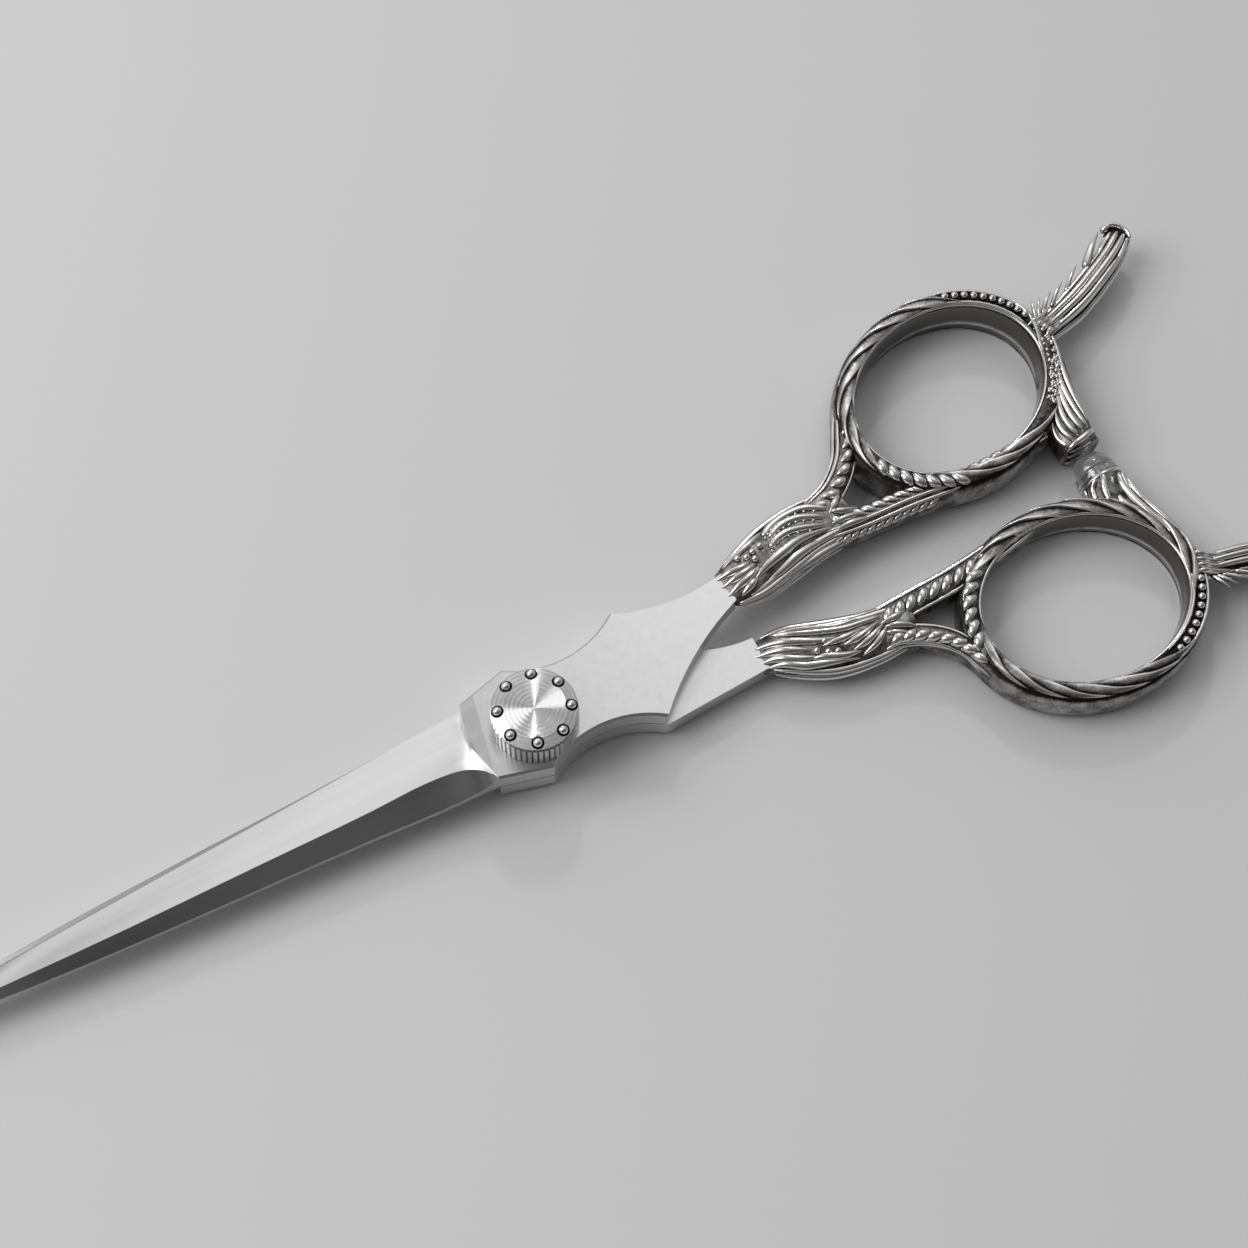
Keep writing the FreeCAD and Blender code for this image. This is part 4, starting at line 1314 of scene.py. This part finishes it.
@dataclass
class ThumbCasting(CastHandle):
    """The lower casting, on the thumb side, with the stalk that holds the bumper."""
    middle: ClassVar[float] = THUMB_RING_HEIGHT / 2
    name: str = "thumb_handle_casting"
    node: str = "thumb_handle"
    body: str = "thumb_half"
    hoop: Hoop = Hoop("thumb_hole", long=11.9, short=9.65, turn=-2.0, height=THUMB_RING_HEIGHT)
    wreath: Wreath = Wreath(channel=(0.81, 0.96), bare=((0.375, 0.505),), count=18)
    bead_span: tuple = (0.824, 0.947)
    bead_count: int = 9
    neck: Skin = Skin(((25.3, -3.3, 2.2, 3.8, 1.7), (26.6, -3.7, 2.2, 4.7, 2.7),
                       (28.8, -4.5, 2.3, 5.5, 3.6), (32.5, -6.1, 2.4, 6.0, 4.2),
                       (36.5, -7.0, 2.5, 5.6, 4.3), (40.5, -7.3, 2.5, 5.0, 4.2),
                       (42.0, -7.4, 2.5, 3.8, 4.0)))
    outer_strut: Skin = Skin(((38.0, -8.3, middle, 2.7, 4.0), (41.0, -9.1, middle, 2.5, 4.0),
                              (43.8, -10.9, middle, 2.4, 4.0), (45.6, -13.4, middle, 2.2, 4.0),
                              (46.6, -17.0, middle, 1.8, 3.8)))
    inner_strut: Skin = Skin(((38.0, -6.2, middle, 3.3, 4.1), (43.0, -5.9, middle, 3.2, 4.2),
                              (48.5, -5.6, middle, 3.1, 4.3), (54.0, -4.7, middle, 2.6, 4.2),
                              (60.0, -3.6, middle, 2.2, 4.1)))
    mirrored: bool = True

    def carve(self) -> None:
        """Ring with a rope over the fork, struts, neck and bumper stalk."""
        self.ring()
        self.patches += lumps(self.hoop.skin(), (0.375, 0.505), 100.0, count=6,
                              width=1.2, height=0.45)
        self.strut(self.outer_strut, rope_angle=74.0, count=8, borders=(32.0, 128.0))
        self.strut(self.inner_strut, rope_angle=88.0, count=12, borders=(44.0, 132.0, 156.0))
        self.neck_sides()
        self.carve_neck()
        self.carve_stalk()

    def carve_neck(self) -> None:
        """Long strands on the inner edge, a fan into the fork, tips over the plate, an arch."""
        long_lines = (((27.2, -1.9), (30.3, -3.6), (34.0, -5.2), (36.3, -5.6), (38.8, -5.9)),
                      ((29.9, -2.4), (33.5, -4.5), (36.0, -4.9), (39.6, -5.2)))
        fan = (((33.4, -7.0), (35.4, -7.0), (38.4, -6.3)), ((34.1, -8.0), (36.2, -7.7), (38.6, -6.8)),
               ((34.8, -8.9), (37.0, -8.3), (38.8, -7.2)), ((31.4, -6.0), (33.7, -6.3), (36.4, -6.3)))
        tips = (((24.7, -2.4), (26.8, -3.0), (28.8, -3.9), (31.2, -5.2), (33.6, -6.0)),
                ((24.6, -3.3), (26.6, -3.9), (28.4, -4.8), (30.2, -5.8)),
                ((24.8, -4.2), (26.6, -4.8), (28.6, -6.0), (30.6, -6.9)),
                ((25.2, -5.0), (27.0, -5.7), (29.0, -7.0), (31.6, -8.0), (34.6, -9.0)),
                ((29.6, -6.6), (31.2, -7.2), (33.0, -8.0), (35.0, -8.4)))
        arch = (((36.9, -9.3), (39.6, -9.6), (42.6, -11.2), (44.6, -13.6), (45.4, -16.4)),)
        fork = (((38.2, -6.7), (40.0, -6.7), (41.8, -6.3)), ((38.4, -7.2), (40.2, -7.8), (42.0, -8.9)),
                ((38.2, -7.8), (39.8, -8.6), (41.4, -9.6)))
        self.laid(self.neck, fork, 0.9, 0.42, Tip.LEAF, keel=0.3)
        self.laid(self.neck, long_lines, 0.85, 0.45, keel=0.3)
        self.laid(self.neck, fan, 0.9, 0.45, Tip.LEAF, keel=0.35)
        self.laid(self.neck, tips, 1.1, 0.46, Tip.LEAF, keel=0.35)
        self.laid(self.outer_strut, arch, 0.55, 0.35)
        knobs = np.array([(30.6, -6.2), (31.6, -6.9), (32.6, -7.3), (31.9, -5.6)])
        self.patches += balls(self.neck.crown(knobs, 0.1), 0.42)

    def carve_stalk(self) -> None:
        """Cup that holds the bumper, and strands that sweep from it round the ring's far side."""
        cup = Skin(((69.5, -6.6, 2.5, 5.2, 4.4), (69.7, -5.2, 2.55, 5.0, 4.7),
                    (70.1, -3.7, 2.6, 4.7, 4.8), (70.2, -2.35, 2.6, 5.0, 5.0)))
        sweep = Skin(((70.9, -3.6, 2.6, 3.2, 4.2), (71.2, -7.4, 2.55, 3.4, 4.4),
                      (72.4, -11.2, 2.5, 2.8, 4.4), (73.2, -15.4, 2.5, 2.0, 4.2)))
        self.patches += [cup.patch(along=40, around=44, crest=0.4),
                         sweep.patch(along=50, around=36, crest=0.4)]
        shoulders = (((68.7, -2.6), (68.0, -3.6), (67.6, -5.0)),
                     ((69.7, -2.6), (68.9, -4.2), (68.6, -5.9)))
        locks = (((70.7, -2.8), (69.9, -4.8), (70.2, -7.2), (71.3, -10.0), (72.0, -13.6)),
                 ((71.6, -2.8), (71.0, -5.0), (71.5, -8.2), (72.3, -11.2), (72.8, -15.0)),
                 ((72.4, -2.9), (72.0, -5.4), (72.6, -8.4), (73.4, -11.8), (73.8, -15.4)))
        self.laid(cup, shoulders, 0.9, 0.4, keel=0.35)
        self.laid(sweep, locks, 0.95, 0.45, keel=0.35)
        for angle in (4.0, 34.0, 140.0, 172.0):
            marks = ((0.93, angle + 4.0), (0.6, angle - 6.0), (0.1, angle - 10.0))
            self.patches.append(strand(cup, marks, 0.95, 0.32, count=20, keel=0.3))
        turn = np.radians(np.linspace(0.0, 360.0, 60, endpoint=False))
        outward = 2.4 * np.stack([np.cos(turn), 0.0 * turn, np.sin(turn)], axis=-1)
        rim = np.array([70.2, -2.5, 2.6]) + outward
        even = np.full(60, 0.28)
        self.patches.append(sweep_patch(rim, outward, even, even, closed=True))
        for angle in (-20.0, 0.0, 22.0):
            marks = tuple((k, angle) for k in (0.05, 0.4, 0.7, 1.0))
            self.patches.append(strand(sweep, marks, 0.8, 0.35, Tip.BLUNT, count=30,
                                       keel=0.3))


# ---- finger rests ----------------------------------------------------------------------------

@dataclass
class FingerRest:
    """Curved rest like a bundle of long feathers with free barbs and a rolled end.

    Its own places are (s, w): s along the rest from its root, w towards its outer side.

    Attributes:
        name: Name of the sculpted piece.
        node: Solid that it stands for.
        body: Half that it moves with.
        root: Where it leaves the ring.
        heading: Degrees from the X axis to the rest.
        side: 1 where the outer side lies to the left of the heading, -1 to the right.
        middle: Height of its middle line.
        ring_top: Height of the ring that it leaves.
        patches: Surfaces made so far.
    """
    name: str
    node: str
    body: str
    root: tuple
    heading: float
    side: float
    middle: float
    ring_top: float
    patches: list = field(default_factory=list)

    def at(self, s: float, w: float) -> tuple[float, float]:
        """Place on the table of a place on the rest.

        Args:
            s: Distance along the rest.
            w: Distance towards its outer side.

        Returns:
            x and y.
        """
        turn = math.radians(self.heading)
        return (self.root[0] + s * math.cos(turn) - self.side * w * math.sin(turn),
                self.root[1] + s * math.sin(turn) + self.side * w * math.cos(turn))

    def core(self) -> Skin:
        """Slender limb under the strands.

        Returns:
            The limb.
        """
        rows = ((-0.8, -0.2, 0.0, 2.3, 3.1), (1.0, -0.3, 0.0, 2.5, 3.3), (5.0, -0.7, 0.1, 3.0, 3.6),
                (9.5, -0.6, 0.1, 3.0, 3.5), (13.5, -0.3, 0.2, 2.8, 3.2), (16.0, 0.4, 0.3, 2.9, 2.8),
                (17.0, 0.8, 0.3, 2.9, 2.5))
        return Skin(tuple((*self.at(s, w), self.middle + z, width, height)
                          for s, w, z, width, height in rows), squareness=2.1)

    def feathers(self, core: Skin) -> None:
        """Long strands over the top of the limb and all round it.

        Args:
            core: The limb.
        """
        lines = (((0.6, 1.0), (4.4, 0.7), (8.5, 0.7), (12.7, 0.9), (16.4, 1.5)),
                 ((0.0, 0.4), (5.4, -0.1), (9.8, 0.0), (13.6, 0.3), (16.8, 0.9)),
                 ((0.0, -0.3), (5.4, -0.9), (10.0, -0.8), (13.8, -0.5), (17.0, 0.1)),
                 ((0.3, -1.0), (3.5, -1.5), (6.5, -1.7), (10.6, -1.5), (14.4, -1.2)))
        for line in lines:
            places = tuple(self.at(s, w) for s, w in line)
            self.patches.append(laid_strand(core, places, 0.9, 0.45, count=60, keel=0.4))
        for k, angle in enumerate(range(140, 400, 26)):
            turned = angle if self.side > 0 else 180 - angle
            drift = 8.0 if k % 2 else -6.0
            marks = ((0.03, turned), (0.35, turned + drift), (0.7, turned + drift), (0.97, turned))
            self.patches.append(strand(core, marks, 0.85, 0.36, count=50, keel=0.4))

    def barbs(self) -> None:
        """Free barbs along the outer side, each from a root to a tip with a slight bend."""
        spikes = (((0.2, 1.0), (2.0, 3.2), 0.6), ((0.8, 1.1), (2.9, 2.7), 0.55),
                  ((1.4, 1.1), (4.6, 2.2), 0.6), ((2.9, 0.9), (6.6, 1.9), 0.6),
                  ((5.8, 0.8), (9.6, 1.9), 0.6), ((10.0, 0.9), (15.2, 2.6), 1.05))
        top = self.middle + 1.55
        for (s0, w0), (s1, w1), width in spikes:
            bend = ((s0 + s1) / 2, (w0 + w1) / 2 + 0.15)
            knots = ((*self.at(s0, w0), top - 0.35), (*self.at(*bend), top), (*self.at(s1, w1), top))
            self.patches.append(free_strand(knots, width, 0.5 * width, Tip.TAIL, count=22))

    def roots(self) -> None:
        """Strands that climb from the ring on to the rest."""
        top = self.middle + 1.6
        for w, spread in ((1.0, 1.3), (0.35, 0.45), (-0.3, -0.4), (-1.0, -1.3)):
            knots = ((*self.at(-2.0, spread), self.ring_top - 0.15),
                     (*self.at(-0.8, 0.8 * spread), self.ring_top - 0.1),
                     (*self.at(0.6, w), top), (*self.at(2.6, w), top))
            self.patches.append(free_strand(knots, 0.85, 0.42, count=26, keel=0.3))

    def end(self) -> None:
        """Rolled edge across the end, with a knob at its outer corner."""
        edge = ((16.3, 2.4), (17.0, 1.9), (17.4, 1.0), (17.3, -0.2), (16.7, -0.9))
        top = self.middle + 1.2
        knots = tuple((*self.at(s, w), top) for s, w in edge)
        self.patches.append(free_strand(knots, 0.7, 0.9, Tip.BLUNT, count=26))
        self.patches += balls(np.array([(*self.at(16.2, 2.3), top)]), 0.55)

    def assemble(self, material: bpy.types.Material) -> bpy.types.Object:
        """Carve everything, join it and let it stand for the solid rest.

        Args:
            material: Finish of the casting.

        Returns:
            The sculpted rest.
        """
        core = self.core()
        self.patches.append(core.patch(along=70, around=36, crest=0.2))
        self.feathers(core)
        self.barbs()
        self.roots()
        self.end()
        piece = build_object(self.name, self.patches, material)
        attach(piece, self.body)
        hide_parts(self.node)
        return piece


# ---- bumper ----------------------------------------------------------------------------------

@dataclass
class Bumper:
    """Clear dome with a seam above its collar, turned about a line along Y.

    Attributes:
        radius: Radius of the dome in millimetres.
        collar: Height of the collar under the dome.
        profile: (radius, height) points of the collar from its mouth up to the seam.
    """
    radius: float = 2.5
    collar: float = 1.1
    profile: tuple = ((1.2, 0.0), (2.2, 0.01), (2.5, 0.06), (2.58, 0.16), (2.6, 0.25), (2.6, 0.7),
                      (2.55, 0.8), (2.3, 0.88), (2.3, 0.96), (2.42, 1.05))

    def assemble(self, material: bpy.types.Material) -> bpy.types.Object:
        """Turn the profile about the bumper's axis: a stem, the collar and a quarter circle.

        Args:
            material: Clear plastic.

        Returns:
            The bumper.
        """
        low, high = (np.array(corner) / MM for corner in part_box("bumper"))
        axis_x, axis_z = (low[0] + high[0]) / 2, (low[2] + high[2]) / 2
        mouth = high[1] - self.radius - self.collar
        collar = np.array(self.profile)
        dome = np.linspace(0.0, np.pi / 2 - 0.05, 18)
        radii = np.concatenate([collar[:1, 0], collar[:, 0], self.radius * np.cos(dome)])
        heights = np.concatenate([low[1:2], mouth + collar[:, 1],
                                  mouth + self.collar + self.radius * np.sin(dome)])
        turn = (2 * np.pi * np.arange(48) / 48)[None, :]
        rings = np.stack([axis_x + radii[:, None] * np.cos(turn),
                          heights[:, None] + 0.0 * turn,
                          axis_z + radii[:, None] * np.sin(turn)], axis=-1)
        patch = tube_patch(rings[:, ::-1], np.full(rings.shape[:2], 0.5))
        piece = build_object("bumper_dome", [patch], material)
        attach(piece, "thumb_half")
        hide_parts("bumper")
        return piece


# ---- studio ----------------------------------------------------------------------------------

@dataclass
class Studio:
    """Camera, pale table, soft lamps and a quiet sky.

    Attributes:
        camera_at: Place of the camera in metres.
        camera_pitch: Degrees that it looks down.
        camera_heading: Level direction of its view.
        camera_roll: Degrees that it is turned about its view.
        lens: Focal length in millimetres on a sensor 36 wide.
        floor_half: Half the table's side in metres.
        tent_dim: Least level of the tent.
        tent_bright: How much brighter it grows on the far side.
        panels: Middle, cosines of the full and the faded edge, and level of each bright panel.
        wall: Level of the pale wall round the table.
        wall_top: Rise of the direction in which the wall starts to fade, and is gone.
        lamps: Name, place, side and watts of each lamp.
    """
    camera_at: tuple = (-0.032645, -0.072632, 0.198548)
    camera_pitch: float = 64.778
    camera_heading: tuple = (0.50796, 0.86138)
    camera_roll: float = -2.647
    lens: float = 57.66
    floor_half: float = 1.2
    tent_dim: float = 0.10
    tent_bright: float = 0.26
    panels: tuple = (((0.38, 0.37, 0.85), 0.995, 0.945, 1.1), ((0.10, 0.90, 0.42), 0.97, 0.84, 0.6))
    wall: float = 0.5
    wall_top: tuple = (0.09, 0.2)
    lamps: tuple = (("key_softbox", (-0.36, 0.22, 0.43), 0.42, 1.9),
                    ("sparkle_lamp", (0.22, 0.45, 0.40), 0.05, 0.35))

    def camera(self) -> None:
        """Place the camera: forward from heading and pitch, then rolled about its view line."""
        pitch, roll = math.radians(self.camera_pitch), math.radians(self.camera_roll)
        ahead = Vector((*self.camera_heading, 0.0)).normalized()
        right = Vector((ahead.y, -ahead.x, 0.0))
        forward = ahead * math.cos(pitch) - Vector((0, 0, 1)) * math.sin(pitch)
        up = right.cross(forward)
        turned_right = right * math.cos(roll) - up * math.sin(roll)
        turned_up = right * math.sin(roll) + up * math.cos(roll)
        basis = Matrix((turned_right, turned_up, -forward)).transposed().to_4x4()
        data = bpy.data.cameras.new("camera")
        data.lens = self.lens
        data.sensor_width = 36.0
        data.clip_start = 0.01
        made = bpy.data.objects.new("camera", data)
        made.matrix_world = Matrix.Translation(self.camera_at) @ basis
        bpy.context.scene.collection.objects.link(made)
        bpy.context.scene.camera = made

    def floor(self) -> None:
        """Flat table under the shears."""
        h = self.floor_half
        mesh = bpy.data.meshes.new("table")
        mesh.from_pydata([(-h, -h, 0), (h, -h, 0), (h, h, 0), (-h, h, 0)], [], [(0, 1, 2, 3)])
        mesh.materials.append(PaleFloor().build())
        table = bpy.data.objects.new("table", mesh)
        bpy.context.scene.collection.objects.link(table)

    def lamp(self, name: str, at: tuple, side: float, power: float) -> None:
        """Square soft lamp aimed at the pivot.

        Args:
            name: Name of the lamp.
            at: Its place in metres.
            side: Its width and height in metres.
            power: Watts.
        """
        data = bpy.data.lights.new(name, "AREA")
        data.shape = "RECTANGLE"
        data.size = data.size_y = side
        data.energy = power
        made = bpy.data.objects.new(name, data)
        made.location = at
        made.rotation_euler = Vector(at).to_track_quat("Z", "Y").to_euler()
        bpy.context.scene.collection.objects.link(made)

    def sky(self) -> None:
        """Tent of soft light with two brighter panels.

        The tent's level rises as a smooth step of the direction's y plus a third of its z, so
        it is dim low on the camera's side.  Each panel fades with the cosine from its middle.
        Slow clouds vary the sum, so flat steel shows soft gradients.  A pale wall stands all
        round up to about ten degrees, seen directly, in metal and through clear plastic.
        """
        world = bpy.data.worlds.new("studio")
        bpy.context.scene.world = world
        world.use_nodes = True
        g = Graph(world.node_tree)
        way = g.node("ShaderNodeTexCoord", {}, {}, "Generated")
        y, z = g.parts(way)[1:]
        level = (y + z * 0.35).ramp(-0.45, 0.3) * self.tent_bright + self.tent_dim
        for middle, inner, outer, power in self.panels:
            near = g.node("ShaderNodeVectorMath", {"operation": "DOT_PRODUCT"},
                          {0: way, 1: middle}, "Value")
            level = level + near.ramp(outer, inner) * power
        cloud = g.node("ShaderNodeTexNoise", {}, {"Vector": way, "Scale": 5.0, "Detail": 1.5})
        level = level * (cloud.ramp(0.34, 0.66) * 0.55 + 0.68)
        rays = g.node("ShaderNodeLightPath", {}, {}, "Is Camera Ray")
        for kind in ("Is Glossy Ray", "Is Transmission Ray"):
            rays = rays + g.node("ShaderNodeLightPath", {}, {}, kind)
        seen = rays.ramp(0.0, 1.0) * (1 - z.ramp(*self.wall_top))
        level = level * (1 - seen) + seen * self.wall
        light = g.node("ShaderNodeBackground", {}, {"Color": (0.985, 0.99, 1.0, 1.0),
                                                    "Strength": level})
        output = g.tree.nodes.new("ShaderNodeOutputWorld")
        g.put(output.inputs[0], light)

    def build(self) -> None:
        """Set up the whole stage."""
        self.camera()
        self.floor()
        self.sky()
        for lamp in self.lamps:
            self.lamp(*lamp)
        bpy.context.scene.view_settings.view_transform = "Standard"


# ---- dressing --------------------------------------------------------------------------------

def dress_solids() -> None:
    """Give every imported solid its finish."""
    blade = GroundSteel().build()
    casting = PatinaAndShadeCasting().build()
    turned = TurnedSteel().build()
    washer = WasherPlastic().build()
    spring = PlainMetal("spring_steel", grey(0.5, 0.01), 0.3).build()
    pivot = PlainMetal("pivot_steel", grey(0.62, 0.01), 0.25).build()
    bronze = PlainMetal("bush_bronze", (0.62, 0.44, 0.25, 1.0), 0.3).build()
    stud = PlainMetal("stud_chrome", grey(0.88, 0.0), 0.07).build()
    finishes = {"finger_blade": blade, "thumb_blade": blade, "finger_handle": casting,
                "thumb_handle": casting, "finger_side_rest": casting, "thumb_side_rest": casting,
                "finger_rest_stud": pivot, "thumb_rest_stud": pivot, "bumper_stud": pivot,
                "bumper": washer, "pivot_bolt": pivot, "bearing_bush": bronze,
                "friction_washer": washer, "ride_washer": washer, "click_plate": spring,
                "click_balls": stud, "disc_spring": spring, "tension_dial": turned,
                "dial_nut": bronze, "dial_studs": stud}
    for node, finish in finishes.items():
        slots = frame["nodes"][node].data.materials
        slots.clear()
        slots.append(finish)
        log.info("%s: %s", node, finish.name)


def main() -> None:
    """Build the dressed shears and the stage."""
    logging.basicConfig(level=logging.INFO, format="%(name)s %(message)s")
    dress_solids()
    casting = bpy.data.materials["patina_and_painted_shade_casting"]
    FingerCasting().assemble(casting)
    ThumbCasting().assemble(casting)
    FingerRest("finger_rest_feather", "finger_side_rest", "finger_half", root=(75.0, 17.2),
               heading=22.5, side=1.0, middle=2.95,
               ring_top=FINGER_RING_HEIGHT).assemble(casting)
    FingerRest("thumb_rest_feather", "thumb_side_rest", "thumb_half", root=(74.0, -17.0),
               heading=-21.5, side=-1.0, middle=2.6,
               ring_top=THUMB_RING_HEIGHT).assemble(casting)
    Bumper().assemble(ClearPlastic().build())
    Studio().build()


if __name__ == "__main__":
    main()
